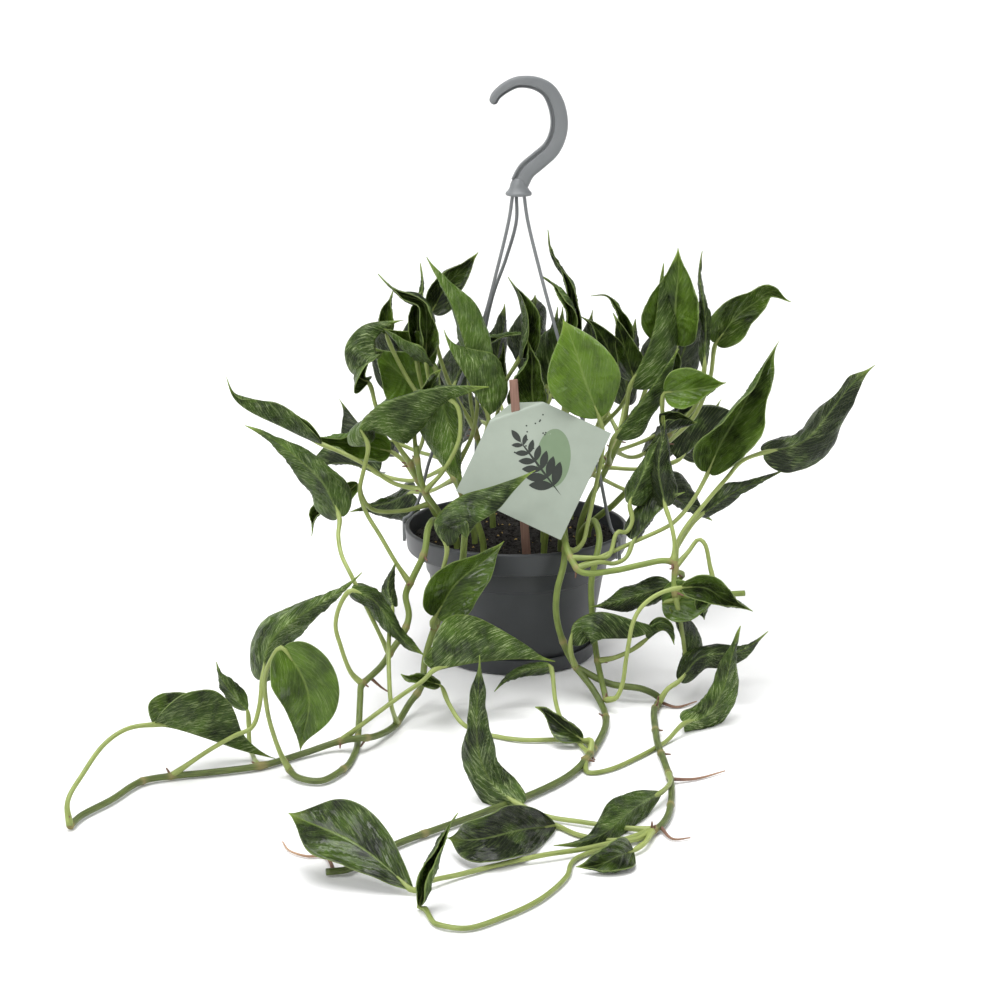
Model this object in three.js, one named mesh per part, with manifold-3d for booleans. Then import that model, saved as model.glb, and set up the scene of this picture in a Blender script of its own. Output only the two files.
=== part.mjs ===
// Potted shangri la pothos: a hanging pot of plastic with its drip saucer, hook and straps, and the
// leafy stems that stand in its compost and trail over the surface it stands on.
import * as THREE from "three";
import { mergeVertices } from "three/addons/utils/BufferGeometryUtils.js";
import Module from "manifold-3d";

const wasm = await Module();
wasm.setup();

// Driving dimensions, in millimetres. The origin is the centre of the saucer's underside.
const RIM_RADIUS = 75;
const POT_HEIGHT = 90;
const COLLAR_HEIGHT = 15;
const SHOULDER_RADIUS = 61.5;
const BAND_HEIGHT = 60;
const FOOT_RADIUS = 50.5;
const WALL = 2;
const SAUCER_RADIUS = 54;
const SAUCER_HEIGHT = 11;
const SAUCER_FLOOR = 2.5;
const POT_FLOOR = 7;
const GAP = 0.3;
const SOIL_TOP = 83;
const ROUND_SIDES = 24;

const STEM_RADIUS = 2.8;
const STALK_RADIUS = 1.9;
const ROOTLET_RADIUS = 1.1;
const ROOT_DEPTH = 27;
const STEM_SIDES = 5;
const STALK_SIDES = 3;
const BLADE = 0.8;
const LEAST_HEIGHT = 0.3;

const HOOK_WEB = 3;
const HOOK_BEAD = 7;
const BEAD_WIDTH = 2.8;
const BOSS_TOP = 319;
const BOSS_UNDERSIDE = 311;
const STRAP_RADIUS = 1.25;

const STAKE_WIDTH = 5.6;
const STAKE_THICKNESS = 2.4;
const CARD = 0.8;

// Every free point of the plant and the card is written [across, up, near]. Across and up are
// measured on the upright plane through the pot's axis, and near says how far the point stands in
// front of that plane, on the line to the eye. A point with no third number rests on the surface.
const EYE = new THREE.Vector3(-11, -1500, 514);

function place([across, up, near], lift = 0) {
  const share = near === undefined ? (lift - up) / (EYE.z - up) : near / -EYE.y;
  return new THREE.Vector3(across, 0, up).lerp(EYE, share);
}

// Each entry is a stem: its node, where it roots in the compost if it does, its path, and its
// leaves. A leaf has the points of its stalk, those that its midrib bends through, its tip, its flat
// width, and in degrees its roll about its own length, the fold at its midrib, the further curl of
// each half and its twist. Arch lifts the midrib towards the upper face, in millimetres, and a
// higher peak puts the widest part further from the stalk.
const STEMS = [
  {"node": "crown_stem_1", "root": [-40, -31], "path": [[-52, 98, 44], [-62, 114, 50], [-66, 132, 50], [-67, 144, 48]],
   "leaves": [
    {"stalk": [[-64, 112, 50], [-82, 118, 46], [-101, 131, 42], [-116, 139, 38], [-130, 145, 35]],
     "bend": [[-150, 152, 31], [-172, 164, 29], [-186, 177, 28]], "tip": [-192, 191, 28], "width": 28, "roll": 30, "fold": 60, "curl": 60, "twist": 90},
    {"stalk": [[-66, 134, 50], [-68, 152, 38], [-67, 162, 32]],
     "tip": [-50, 196, 28], "width": 26, "roll": 10, "fold": 20, "curl": 40},
    {"stalk": [[-60, 112, 52], [-48, 128, 60], [-38, 150, 60], [-40, 172, 56], [-50, 177, 52]],
     "tip": [-35, 117, 56], "width": 52, "roll": 165, "fold": 30, "curl": 45}]},
  {"node": "crown_stem_2", "root": [-49, -10], "path": [[-56, 100, 16], [-66, 120, 18], [-72, 134, 16]],
   "leaves": [
    {"stalk": [[-71, 132, 17], [-84, 152, 14], [-93, 170, 12], [-98, 187, 10]],
     "bend": [[-111, 196, 10], [-115, 212, 9], [-104, 226, 8]], "tip": [-74, 229, 8], "width": 48, "roll": 88, "fold": 50, "curl": 45},
    {"stalk": [[-66, 121, 18], [-76, 134, 10], [-84, 140, 6]],
     "tip": [-137, 151, 0], "width": 46, "roll": 0, "fold": 30, "curl": 75},
    {"stalk": [[-58, 104, 16], [-76, 99, 20], [-97, 100, 22], [-104, 110, 22], [-106, 118, 21]],
     "bend": [[-118, 109, 21], [-134, 99, 20]], "tip": [-138, 81, 20], "width": 28, "roll": 0, "fold": 45, "curl": 50},
    {"stalk": [[-70, 130, 16], [-62, 150, -6], [-62, 176, -12]],
     "tip": [-95, 212, -16], "width": 44, "roll": 10, "fold": 15, "curl": 25}]},
  {"node": "crown_stem_3", "root": [-28, -22], "path": [[-33, 98, 22], [-38, 120, 28], [-42, 140, 30], [-46, 156, 28]],
   "leaves": [
    {"stalk": [[-45, 152, 29], [-50, 176, 18], [-55, 198, 10]],
     "tip": [-90, 225, 8], "width": 43, "roll": 45, "fold": 42, "curl": 45, "arch": -6},
    {"stalk": [[-46, 155, 28], [-56, 180, 16], [-60, 204, 14]],
     "bend": [[-60, 224, 13], [-62, 241, 12], [-74, 247, 12]], "tip": [-91, 260, 12], "width": 28, "roll": 0, "fold": 45, "curl": 50},
    {"stalk": [[-46, 155, 28], [-60, 176, 6], [-66, 202, 3]],
     "bend": [[-65, 236, 3], [-61, 253, 2]], "tip": [-63, 267, 2], "width": 21, "roll": 0, "fold": 45, "curl": 40},
    {"stalk": [[-40, 130, 29], [-30, 150, 26], [-26, 172, 22], [-28, 188, 20]],
     "bend": [[-36, 214, 20], [-45, 242, 19]], "tip": [-59, 271, 16], "width": 41, "roll": 150, "fold": 40, "curl": 40},
    {"stalk": [[-36, 112, 25], [-24, 130, 32], [-18, 150, 36], [-19, 164, 36]],
     "tip": [-48, 223, 30], "width": 53, "roll": 142, "fold": 42, "curl": 45, "arch": -4},
    {"stalk": [[-46, 155, 28], [-70, 186, 0], [-86, 220, -8]],
     "bend": [[-85, 236, -8]], "tip": [-81, 249, -6], "width": 18, "roll": 0, "fold": 40, "curl": 40}]},
  {"node": "crown_stem_4", "root": [-16, 18], "path": [[-18, 112, -22], [-22, 134, -24], [-28, 156, -22]],
   "leaves": [
    {"stalk": [[-28, 155, -22], [-46, 190, -24], [-56, 234, -24]],
     "bend": [[-44, 255, -25]], "tip": [-25, 274, -26], "width": 28, "roll": 10, "fold": 25, "curl": 40},
    {"stalk": [[-27, 150, -22], [-31, 180, -22], [-31, 213, -24]],
     "bend": [[-16, 217, -22]], "tip": [9, 220, -20], "width": 23, "roll": 0, "fold": 50, "curl": 60},
    {"stalk": [[-24, 140, -24], [-19, 160, -20], [-18, 178, -18]],
     "tip": [-9, 214, -16], "width": 18, "roll": 20, "fold": 25, "curl": 45},
    {"stalk": [[-22, 132, -24], [-14, 160, -6], [-8, 186, -4], [2, 204, -8]],
     "bend": [[3, 226, -8], [0, 244, -12]], "tip": [-6, 258, -14], "width": 34, "roll": 30, "fold": 48, "curl": 55}]},
  {"node": "crown_stem_5", "root": [18, -20], "path": [[19, 100, 20], [22, 124, 22], [28, 146, 18], [32, 164, 12]],
   "leaves": [
    {"stalk": [[31, 160, 14], [36, 178, 4], [36, 200, -6]],
     "bend": [[38, 230, -10], [34, 252, -14], [20, 272, -16]], "tip": [20, 289, -16], "width": 28, "roll": 0, "fold": 50, "curl": 60},
    {"stalk": [[31, 160, 14], [32, 190, 10], [31, 212, 6]],
     "bend": [[35, 236, 2], [28, 251, -1]], "tip": [15, 259, -2], "width": 21, "roll": 0, "fold": 50, "curl": 50},
    {"stalk": [[24, 130, 22], [16, 148, 16], [12, 164, 10]],
     "tip": [7, 216, 4], "width": 48, "roll": -10, "fold": 30, "curl": 55, "arch": -6},
    {"stalk": [[26, 140, 20], [22, 160, 4], [20, 184, -8]],
     "tip": [30, 238, -14], "width": 41, "roll": 200, "fold": 30, "curl": 50, "arch": -4}]},
  {"node": "crown_stem_6", "root": [30, 22], "path": [[34, 112, -24], [44, 136, -24], [56, 158, -22]],
   "leaves": [
    {"stalk": [[55, 155, -22], [64, 176, -28], [68, 194, -30]],
     "bend": [[72, 214, -30], [67, 234, -30], [58, 245, -30]], "tip": [48, 245, -30], "width": 25, "roll": 0, "fold": 50, "curl": 50},
    {"stalk": [[50, 148, -23], [60, 176, -14], [65, 200, -12]],
     "bend": [[55, 219, -11]], "tip": [41, 232, -10], "width": 23, "roll": 10, "fold": 25, "curl": 40},
    {"stalk": [[55, 156, -22], [70, 172, -18], [77, 190, -16]],
     "tip": [63, 234, -16], "width": 23, "roll": 10, "fold": 25, "curl": 40, "arch": 3},
    {"stalk": [[44, 136, -24], [44, 160, -36], [48, 186, -42]],
     "tip": [54, 222, -44], "width": 30, "roll": 170, "fold": 30, "curl": 50}]},
  {"node": "crown_stem_7", "root": [42, -12], "path": [[48, 104, 14], [58, 124, 18], [68, 146, 18], [76, 164, 16]],
   "leaves": [
    {"stalk": [[70, 152, 17], [73, 168, 20], [75, 184, 20]],
     "bend": [[89, 226, 18]], "tip": [96, 267, 14], "width": 44, "roll": 140, "fold": 45, "curl": 50},
    {"stalk": [[76, 163, 16], [92, 180, 10], [105, 212, 8]],
     "tip": [105, 277, 6], "width": 48, "roll": -12, "fold": 20, "curl": 30},
    {"stalk": [[62, 132, 18], [62, 140, 34], [65, 150, 36]],
     "tip": [107, 210, 34], "width": 32, "roll": 152, "fold": 45, "curl": 45},
    {"stalk": [[74, 160, 17], [88, 176, 0], [98, 190, -6]],
     "tip": [84, 238, -8], "width": 32, "roll": 20, "fold": 30, "curl": 45}]},
  {"node": "crown_stem_8", "root": [49, -5], "path": [[66, 104, 12], [82, 122, 20], [96, 142, 24], [104, 156, 24]],
   "leaves": [
    {"stalk": [[102, 152, 24], [119, 172, 22], [124, 196, 24]],
     "bend": [[123, 236, 22]], "tip": [121, 275, 22], "width": 25, "roll": 180, "fold": 55, "curl": 50},
    {"stalk": [[96, 142, 24], [118, 164, 6], [128, 190, 2], [131, 213, 0]],
     "bend": [[143, 229, -1], [156, 241, -3], [164, 249, -4]], "tip": [180, 241, -4], "width": 32, "roll": 0, "fold": 25, "curl": 40},
    {"stalk": [[98, 146, 24], [97, 162, 38], [98, 180, 42]],
     "bend": [[120, 183, 42]], "tip": [139, 187, 42], "width": 34, "roll": 0, "fold": 20, "curl": 45},
    {"stalk": [[92, 136, 23], [94, 144, 34], [98, 152, 38]],
     "tip": [120, 160, 40], "width": 32, "roll": -45, "fold": 35, "curl": 80}]},
  {"node": "crown_stem_9", "root": [-34, 34], "path": [[-40, 118, -44], [-50, 134, -58], [-58, 150, -72]],
   "leaves": [
    {"stalk": [[-56, 146, -70], [-70, 166, -78], [-78, 180, -80]],
     "tip": [-84, 232, -70], "width": 41, "roll": 190, "fold": 30, "curl": 45, "arch": 4},
    {"stalk": [[-50, 136, -60], [-66, 140, -84], [-80, 146, -98]],
     "tip": [-118, 176, -126], "width": 46, "roll": 240, "fold": 35, "curl": 45, "arch": 5},
    {"stalk": [[-58, 149, -72], [-50, 170, -84], [-42, 184, -90]],
     "tip": [-26, 234, -98], "width": 44, "roll": 170, "fold": 30, "curl": 45, "arch": 4},
    {"stalk": [[-46, 128, -54], [-70, 120, -70], [-92, 124, -78]],
     "tip": [-146, 128, -92], "width": 46, "roll": 130, "fold": 30, "curl": 45, "arch": 6},
    {"stalk": [[-58, 150, -72], [-64, 168, -66], [-66, 182, -64]],
     "tip": [-56, 248, -60], "width": 39, "roll": 200, "fold": 32, "curl": 55, "arch": 4},
    {"stalk": [[-50, 135, -59], [-54, 146, -92], [-56, 152, -104]],
     "tip": [-50, 206, -112], "width": 48, "roll": 165, "fold": 32, "curl": 50, "arch": 4},
    {"stalk": [[-42, 120, -47], [-60, 112, -66], [-70, 112, -74]],
     "tip": [-112, 98, -84], "width": 41, "roll": 200, "fold": 32, "curl": 50, "arch": 4}]},
  {"node": "crown_stem_10", "root": [2, 42], "path": [[0, 122, -56], [-4, 140, -74], [-4, 156, -88]],
   "leaves": [
    {"stalk": [[-4, 152, -84], [6, 176, -94], [10, 192, -96]],
     "tip": [12, 246, -86], "width": 44, "roll": 185, "fold": 30, "curl": 45, "arch": 5},
    {"stalk": [[-4, 144, -78], [-16, 156, -104], [-22, 160, -120]],
     "tip": [-36, 190, -166], "width": 48, "roll": 200, "fold": 32, "curl": 45, "arch": 6},
    {"stalk": [[-2, 134, -70], [14, 140, -96], [22, 144, -112]],
     "tip": [44, 150, -160], "width": 48, "roll": 150, "fold": 32, "curl": 45, "arch": 7},
    {"stalk": [[-4, 154, -86], [-10, 170, -106], [-13, 180, -112]],
     "tip": [-8, 240, -116], "width": 37, "roll": 195, "fold": 32, "curl": 50, "arch": 4},
    {"stalk": [[-2, 140, -74], [12, 160, -88], [22, 176, -92]],
     "tip": [27, 238, -84], "width": 39, "roll": 170, "fold": 32, "curl": 50, "arch": 4}]},
  {"node": "crown_stem_11", "root": [38, 38], "path": [[46, 120, -50], [60, 136, -64], [70, 150, -76]],
   "leaves": [
    {"stalk": [[68, 147, -74], [80, 168, -80], [86, 184, -80]],
     "tip": [98, 236, -70], "width": 44, "roll": 165, "fold": 30, "curl": 45, "arch": 4},
    {"stalk": [[62, 138, -66], [82, 146, -88], [96, 152, -100]],
     "tip": [136, 176, -128], "width": 48, "roll": 120, "fold": 34, "curl": 45, "arch": 6},
    {"stalk": [[70, 149, -76], [60, 168, -92], [54, 182, -98]],
     "tip": [50, 236, -106], "width": 41, "roll": 190, "fold": 30, "curl": 45, "arch": 4},
    {"stalk": [[54, 130, -58], [84, 128, -60], [108, 134, -58]],
     "tip": [160, 160, -56], "width": 46, "roll": -130, "fold": 32, "curl": 45, "arch": 6},
    {"stalk": [[66, 144, -71], [70, 162, -96], [72, 172, -104]],
     "tip": [78, 230, -108], "width": 41, "roll": 185, "fold": 32, "curl": 50, "arch": 4},
    {"stalk": [[64, 141, -68], [76, 136, -84], [84, 138, -90]],
     "tip": [116, 188, -78], "width": 46, "roll": 150, "fold": 32, "curl": 50, "arch": 4},
    {"stalk": [[70, 149, -76], [90, 170, -84], [102, 188, -88]],
     "tip": [122, 246, -84], "width": 39, "roll": 170, "fold": 32, "curl": 50, "arch": 4},
    {"stalk": [[50, 125, -54], [78, 112, -66], [94, 112, -70]],
     "tip": [132, 92, -76], "width": 41, "roll": 200, "fold": 32, "curl": 50, "arch": 4}]},
  {"node": "trailing_stem_left", "root": [-22, -44],
   "path": [[-28, 96, 50], [-31, 108, 64], [-33, 99, 78], [-35, 79, 84], [-37, 60, 86], [-45, 38, 88], [-56, 15, 98],
    [-62, -5, 106], [-65, -26, 118], [-73, -38, 128], [-83, -54], [-99, -63, 181], [-109, -64, 190], [-121, -66, 187],
    [-148, -75.5], [-176, -84], [-211, -89], [-240, -92], [-259, -95.5], [-282, -110], [-303, -121.5], [-311, -129]],
   "leaves": [
    {"stalk": [[-55, 18, 97], [-53, 34, 100], [-50, 55, 101], [-47, 74, 101]],
     "bend": [[-56, 92, 101], [-42, 110, 100], [-17, 119, 100]], "tip": [13, 127, 100], "width": 51, "roll": 100, "fold": 40, "curl": 45},
    {"stalk": [[-56, 16, 98], [-57, 20, 102], [-55, 24, 101]],
     "bend": [[-41, 48, 99]], "tip": [-8, 78, 95], "width": 39, "roll": 15, "fold": 16, "curl": 30},
    {"stalk": [[-121, -66, 187], [-105, -53, 184], [-91, -42, 176], [-78, -32, 168], [-64, -22, 160], [-56, -14, 154]],
     "bend": [[-30, -11, 140], [0, -9, 130]], "tip": [27, -8, 124], "width": 61, "roll": -130, "fold": 50, "curl": 35},
    {"stalk": [[-303, -121, 310], [-312, -112, 304], [-300, -90, 284], [-284, -68, 268], [-268, -57, 258], [-250, -54, 250]],
     "bend": [[-240, -57, 241], [-217, -67, 224], [-190, -75, 209]], "tip": [-166, -79, 205], "width": 54, "roll": -102, "fold": 50, "curl": 20},
    {"stalk": [[-240, -92, 230], [-214, -74, 228], [-194, -62, 226], [-182, -56, 225], [-177, -43, 222], [-174, -22, 218]],
     "bend": [[-168, 4, 212], [-147, 25, 204]], "tip": [-104, 56, 192], "width": 44, "roll": 180, "fold": 38, "curl": 50},
    {"stalk": [[-182, -84, 214], [-184, -69, 184], [-185, -43, 176]],
     "bend": [[-193, -34, 176], [-200, -22, 174]], "tip": [-205, -8, 170], "width": 21, "peak": 0.8, "roll": 180, "fold": 30, "curl": 60},
    {"stalk": [[-84, -54], [-86, -38, 172], [-87, -18, 152], [-87, 2, 134], [-86, 18, 118], [-84, 32, 102]],
     "bend": [[-87, 46, 94]], "tip": [-81, 63, 88], "width": 21, "roll": 180, "fold": 35, "curl": 60}]},
  {"node": "trailing_stem_bent", "root": [-44, -24], "rootlets": [[[-100, -20, 124], [-92, -27, 121], [-86, -31, 119]]],
   "path": [[-54, 92, 36], [-58, 90, 54], [-60, 84, 66], [-62, 70, 74], [-70, 52, 78], [-75, 40, 82], [-73, 25, 90], [-77, 12, 98],
    [-83, 3, 106], [-92, -11, 116], [-102, -21, 126], [-106, -25, 131], [-107, -34, 142], [-108, -50, 158],
    [-109, -62, 173], [-110.5, -75, 192], [-120, -87], [-136, -95.5], [-151, -93], [-158, -86, 226]],
   "leaves": [
    {"stalk": [[-72, 48, 79], [-81, 62, 76], [-92, 82, 68], [-101, 98, 60], [-105, 112, 60], [-102, 128, 60], [-99, 144, 60]],
     "bend": [[-105, 156, 61], [-94, 173, 62], [-68, 182, 62]], "tip": [-18, 184, 60], "width": 60, "roll": 140, "fold": 40, "curl": 40},
    {"stalk": [[-106, -24, 130], [-113, -16, 132], [-120, 4, 132], [-123, 18, 132], [-119, 34, 133], [-112, 43, 134]],
     "bend": [[-98, 36, 134], [-83, 17, 136]], "tip": [-62, -4, 136], "width": 32, "roll": 180, "fold": 40, "curl": 50},
    {"stalk": [[-118, 36, 133], [-111, 52, 126], [-118, 68, 112], [-120, 82, 98], [-119, 94, 88]],
     "bend": [[-130, 120, 80], [-150, 138, 72]], "tip": [-181, 158, 64], "width": 38, "roll": 180, "fold": 32, "curl": 45},
    {"stalk": [[-156, -88, 228], [-162, -77, 230], [-167, -62, 232], [-171, -44, 236], [-172, -20, 240], [-167, -6, 242], [-160, 2, 243]],
     "bend": [[-150, -12, 243], [-143, -36, 242]], "tip": [-149, -74, 240], "width": 39, "roll": -4, "fold": 12, "curl": 20, "arch": 3}]},
  {"node": "trailing_stem_centre", "root": [29, -40], "rootlets": [[[-128, -163], [-134, -152], [-146, -152], [-158, -148], [-163, -141]]],
   "path": [[31, 96, 44], [32, 88, 54], [33, 76, 66], [32, 61, 78], [28, 44, 82], [27, 30, 83], [29, 16, 84], [35, -1, 86],
    [41, -12, 92], [52, -27, 104], [60, -42], [62, -52], [60, -60], [53, -73], [43, -86], [33, -94], [12, -105], [-8, -113],
    [-30, -122], [-51, -130], [-72, -138], [-86, -144], [-104, -154], [-118, -162], [-133, -164]],
   "leaves": [
    {"stalk": [[33, 72, 69], [39, 71, 70], [45, 77, 70], [48, 90, 66], [52, 110, 60], [56, 132, 54], [58, 150, 49], [55, 163, 46]],
     "tip": [30, 230, 40], "width": 48, "peak": 0.85, "roll": 0, "fold": 10, "curl": 20, "arch": 4},
    {"stalk": [[41, -12, 92], [38, -4, 96], [37, 4, 97]],
     "bend": [[40, 21, 95], [56, 30, 97], [82, 24, 97]], "tip": [107, 14, 96], "width": 39, "roll": 110, "fold": 40, "curl": 45},
    {"stalk": [[50, -75, 200], [52, -66, 190], [46, -65, 182]],
     "bend": [[30, -53, 172]], "tip": [13, -41, 164], "width": 18, "roll": 0, "fold": 30, "curl": 50},
    {"stalk": [[47, -81, 212], [50, -92, 226], [56, -93, 226], [67, -89, 220], [86, -81, 200], [104, -66, 176], [116, -53, 160]],
     "bend": [[131, -47, 152], [142, -28, 145], [148, -4, 141]], "tip": [153, 18, 138], "width": 32, "roll": 180, "fold": 32, "curl": 42},
    {"stalk": [[50, -75, 200], [44, -68, 182], [32, -52, 158], [27, -36, 136], [25, -18, 116], [23, -11, 108]],
     "bend": [[4, -15, 108]], "tip": [-15, -30, 114], "width": 18, "roll": 180, "fold": 40, "curl": 50},
    {"stalk": [[53, -73], [46, -66], [30, -65], [3, -65], [-20, -61], [-36, -54, 166], [-46, -39, 152], [-52, -25, 140]],
     "tip": [-79, -17, 136], "width": 16, "roll": 0, "fold": 30, "curl": 60}]},
  {"node": "trailing_stem_centre", "rootlets": [[[108, -96], [124, -94], [145, -88]], [[98, -131], [110, -139], [122, -138]], [[97, -38], [110, -41], [124, -37]]],
   "path": [[41, -12, 92], [64, -24, 100], [87, -28, 104], [98, -34], [95, -44], [96, -56], [98, -68], [103, -82],
    [107.5, -96], [108, -110], [106, -121], [101, -129], [95, -133]],
   "leaves": [
    {"stalk": [[97, -36, 112], [104, -28, 112], [112, -22, 110]],
     "bend": [[126, -6, 107], [150, 0, 103]], "tip": [172, 14, 98], "width": 30, "roll": 180, "fold": 38, "curl": 45},
    {"stalk": [[104, -86, 232], [107, -97, 252], [101, -104, 270]],
     "bend": [[82, -118, 308], [57, -134, 332]], "tip": [26, -144, 337], "width": 23, "peak": 0.85, "roll": 180, "fold": 18, "curl": 30},
    {"stalk": [[95, -133], [80, -131, 312], [45, -126, 302], [22, -122, 294], [4, -114, 284]],
     "bend": [[-13, -101, 276], [-24, -80, 272], [-28, -48, 262]], "tip": [-25, -3, 250], "width": 34, "roll": 180, "fold": 30, "curl": 42},
    {"stalk": [[95, -133], [85, -139, 326], [67, -142, 332], [45, -147, 342], [20, -151, 350], [-10, -158, 358], [-40, -166, 372], [-60, -171, 384], [-72, -178, 392]],
     "bend": [[-112, -145, 368]], "tip": [-159, -119, 342], "width": 39, "peak": 1.15, "roll": 20, "fold": 12, "curl": 20},
    {"stalk": [[45, -147, 343], [42, -155, 350], [36, -167], [27, -177], [14, -187], [-8, -198], [-35, -207], [-55, -204], [-64, -197, 412], [-68, -190, 410]],
     "bend": [[-63, -168, 402], [-53, -144, 392]], "tip": [-40, -119, 378], "width": 28, "roll": 0, "fold": 58, "curl": 50},
    {"stalk": [[95, -133], [70, -140, 326], [44, -136, 318], [28, -129, 306]],
     "bend": [[-4, -134, 338], [-25, -137, 350]], "tip": [-49, -138, 332], "width": 32, "peak": 1.1, "roll": 0, "fold": 15, "curl": 25},
    {"stalk": [[95, -134], [90, -142, 334], [82, -148, 342]],
     "bend": [[62, -156, 360]], "tip": [42, -160, 364], "width": 23, "peak": 0.9, "roll": 0, "fold": 20, "curl": 40}]},
  {"node": "trailing_stem_centre", "root": [42, -26],
   "path": [[52, 92, 40], [56, 80, 56], [54, 66, 68], [51, 50, 74], [51, 37, 76], [53, 12, 80], [55.6, -7, 88], [58.5, -21, 100], [62, -36, 116]],
   "leaves": [
    {"stalk": [[62, -36, 116], [69, -34, 122], [73, -24, 122], [75, -8, 122], [77, 6, 122], [79, 18, 121], [83, 28, 119], [90, 36, 117], [100, 42, 115], [112, 45, 112]],
     "bend": [[127, 45, 110], [142, 36, 107]], "tip": [161, 28, 104], "width": 28, "roll": 0, "fold": 35, "curl": 50},
    {"stalk": [[56, -8, 88], [68, -5, 90], [80, 1, 92], [90, 9, 94]],
     "tip": [108, 4, 96], "width": 16, "roll": -60, "fold": 40, "curl": 60, "arch": 8}]},
  {"node": "trailing_stem_right", "root": [18, -47],
   "path": [[24, 92, 60], [31, 82, 68], [36, 68, 84], [44, 56, 93], [66, 57, 90], [84, 61, 86], [100, 64, 84], [107, 62, 84], [107, 50, 88],
    [108, 38, 90]],
   "leaves": [
    {"stalk": [[106, 63, 84], [107, 74, 82], [104, 90, 76], [100, 102, 70]],
     "bend": [[95, 132, 62]], "tip": [98, 165, 54], "width": 31, "roll": 175, "fold": 35, "curl": 50},
    {"stalk": [[107, 62, 84], [110, 80, 74], [128, 106, 60], [141, 122, 52], [150, 133, 48], [164, 139, 44]],
     "bend": [[188, 147, 42], [209, 168, 38]], "tip": [237, 199, 36], "width": 42, "roll": 166, "fold": 32, "curl": 40},
    {"stalk": [[105, 63, 84], [110, 76, 60], [120, 92, 44], [124, 96, 40]],
     "bend": [[150, 114, 35]], "tip": [180, 128, 30], "width": 21, "roll": 180, "fold": 35, "curl": 55},
    {"stalk": [[40, 60, 94], [60, 68, 84], [79, 77, 74], [100, 87, 66], [106, 91, 63], [117, 104, 56], [128, 125, 46]],
     "bend": [[137, 147, 42], [154, 177, 36]], "tip": [173, 215, 30], "width": 54, "roll": -8, "fold": 38, "curl": 45, "twist": 60},
    {"stalk": [[40, 60, 94], [56, 63, 92], [66, 62, 88], [74, 66, 84], [79, 78, 76]],
     "tip": [113, 112, 62], "width": 28, "roll": 212, "fold": 35, "curl": 45, "arch": 4},
    {"stalk": [[37, 66, 86], [50, 66, 89], [62, 67, 86], [68, 84, 78], [74, 84, 74], [78, 92, 70], [76, 104, 66]],
     "tip": [98, 154, 48], "width": 34, "roll": 165, "fold": 35, "curl": 45, "arch": -3},
    {"stalk": [[107, 56, 86], [113, 54, 80], [105, 47, 78]],
     "bend": [[82, 39, 84]], "tip": [50, 31, 90], "width": 30, "roll": 180, "fold": 32, "curl": 45},
    {"stalk": [[108, 60, 85], [116, 70, 78], [123, 79, 74], [127, 76, 76], [131, 60, 80], [134, 46, 84]],
     "tip": [128, 22, 84], "width": 21, "roll": 20, "fold": 40, "curl": 50, "arch": 3},
    {"stalk": [[108, 42, 90], [110, 38, 88], [99, 34, 84]],
     "tip": [138, 36, 84], "width": 30, "roll": 0, "fold": 14, "curl": 30, "arch": 3},
    {"stalk": [[108, 40, 90], [112, 20, 90], [115, 0, 90], [117, -19, 91]],
     "tip": [104, 31, 92], "width": 34, "roll": 150, "fold": 50, "curl": 40, "arch": 4}]},
  {"node": "trailing_stem_right", "path": [[107, 42, 89], [125, 37, 84], [142, 40, 80], [155, 41, 78]], "leaves": []},
];

const COLOURS = {
  pot: "#3d3e41",
  hanger: "#6e7070",
  soil: "#15130f",
  stake: "#7a5448",
  card: "#b0b9ac",
  leaf: "#44632a",
  vine: "#5b7533",
};

// A closed geometry as a solid that can be joined and cut.
function solid(geometry) {
  const bare = geometry.clone();
  bare.deleteAttribute("normal");
  bare.deleteAttribute("uv");
  const merged = mergeVertices(bare, 1e-4);
  return new wasm.Manifold(
    new wasm.Mesh({
      numProp: 3,
      vertProperties: new Float32Array(merged.attributes.position.array),
      triVerts: new Uint32Array(merged.index.array),
    }),
  );
}

function geometryOf(made) {
  const mesh = made.getMesh();
  const geometry = new THREE.BufferGeometry();
  geometry.setAttribute("position", new THREE.BufferAttribute(mesh.vertProperties, 3));
  geometry.setIndex(new THREE.BufferAttribute(mesh.triVerts, 1));
  geometry.computeVertexNormals();
  return geometry;
}

function piece(name, made, colour, roughness) {
  const material = new THREE.MeshStandardMaterial({ color: colour, roughness, metalness: 0, flatShading: true });
  const mesh = new THREE.Mesh(geometryOf(made), material);
  mesh.name = name;
  return mesh;
}

// A closed ring turned about the pot's axis from its [radius, height] profile.
function turned(profile, sides = ROUND_SIDES) {
  const points = profile.map(([radius, height]) => new THREE.Vector2(radius, height));
  return solid(new THREE.LatheGeometry(points, sides).rotateX(Math.PI / 2));
}

function polygon(radius, sides) {
  const corners = [];
  for (let i = 0; i < sides; i++) {
    const angle = (2 * Math.PI * (i + 0.5)) / sides;
    corners.push(new THREE.Vector2(radius * Math.cos(angle), radius * Math.sin(angle)));
  }
  return new THREE.Shape(corners);
}

function tube(curve, radius, sides, steps) {
  const settings = { steps, extrudePath: curve, bevelEnabled: false };
  const geometry = new THREE.ExtrudeGeometry(polygon(radius, sides), settings);
  const positions = geometry.attributes.position;
  for (let i = 0; i < positions.count; i++) positions.setZ(i, Math.max(positions.getZ(i), LEAST_HEIGHT));
  return solid(geometry);
}

const smooth = (points) => new THREE.CatmullRomCurve3(points, false, "centripetal");

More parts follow.
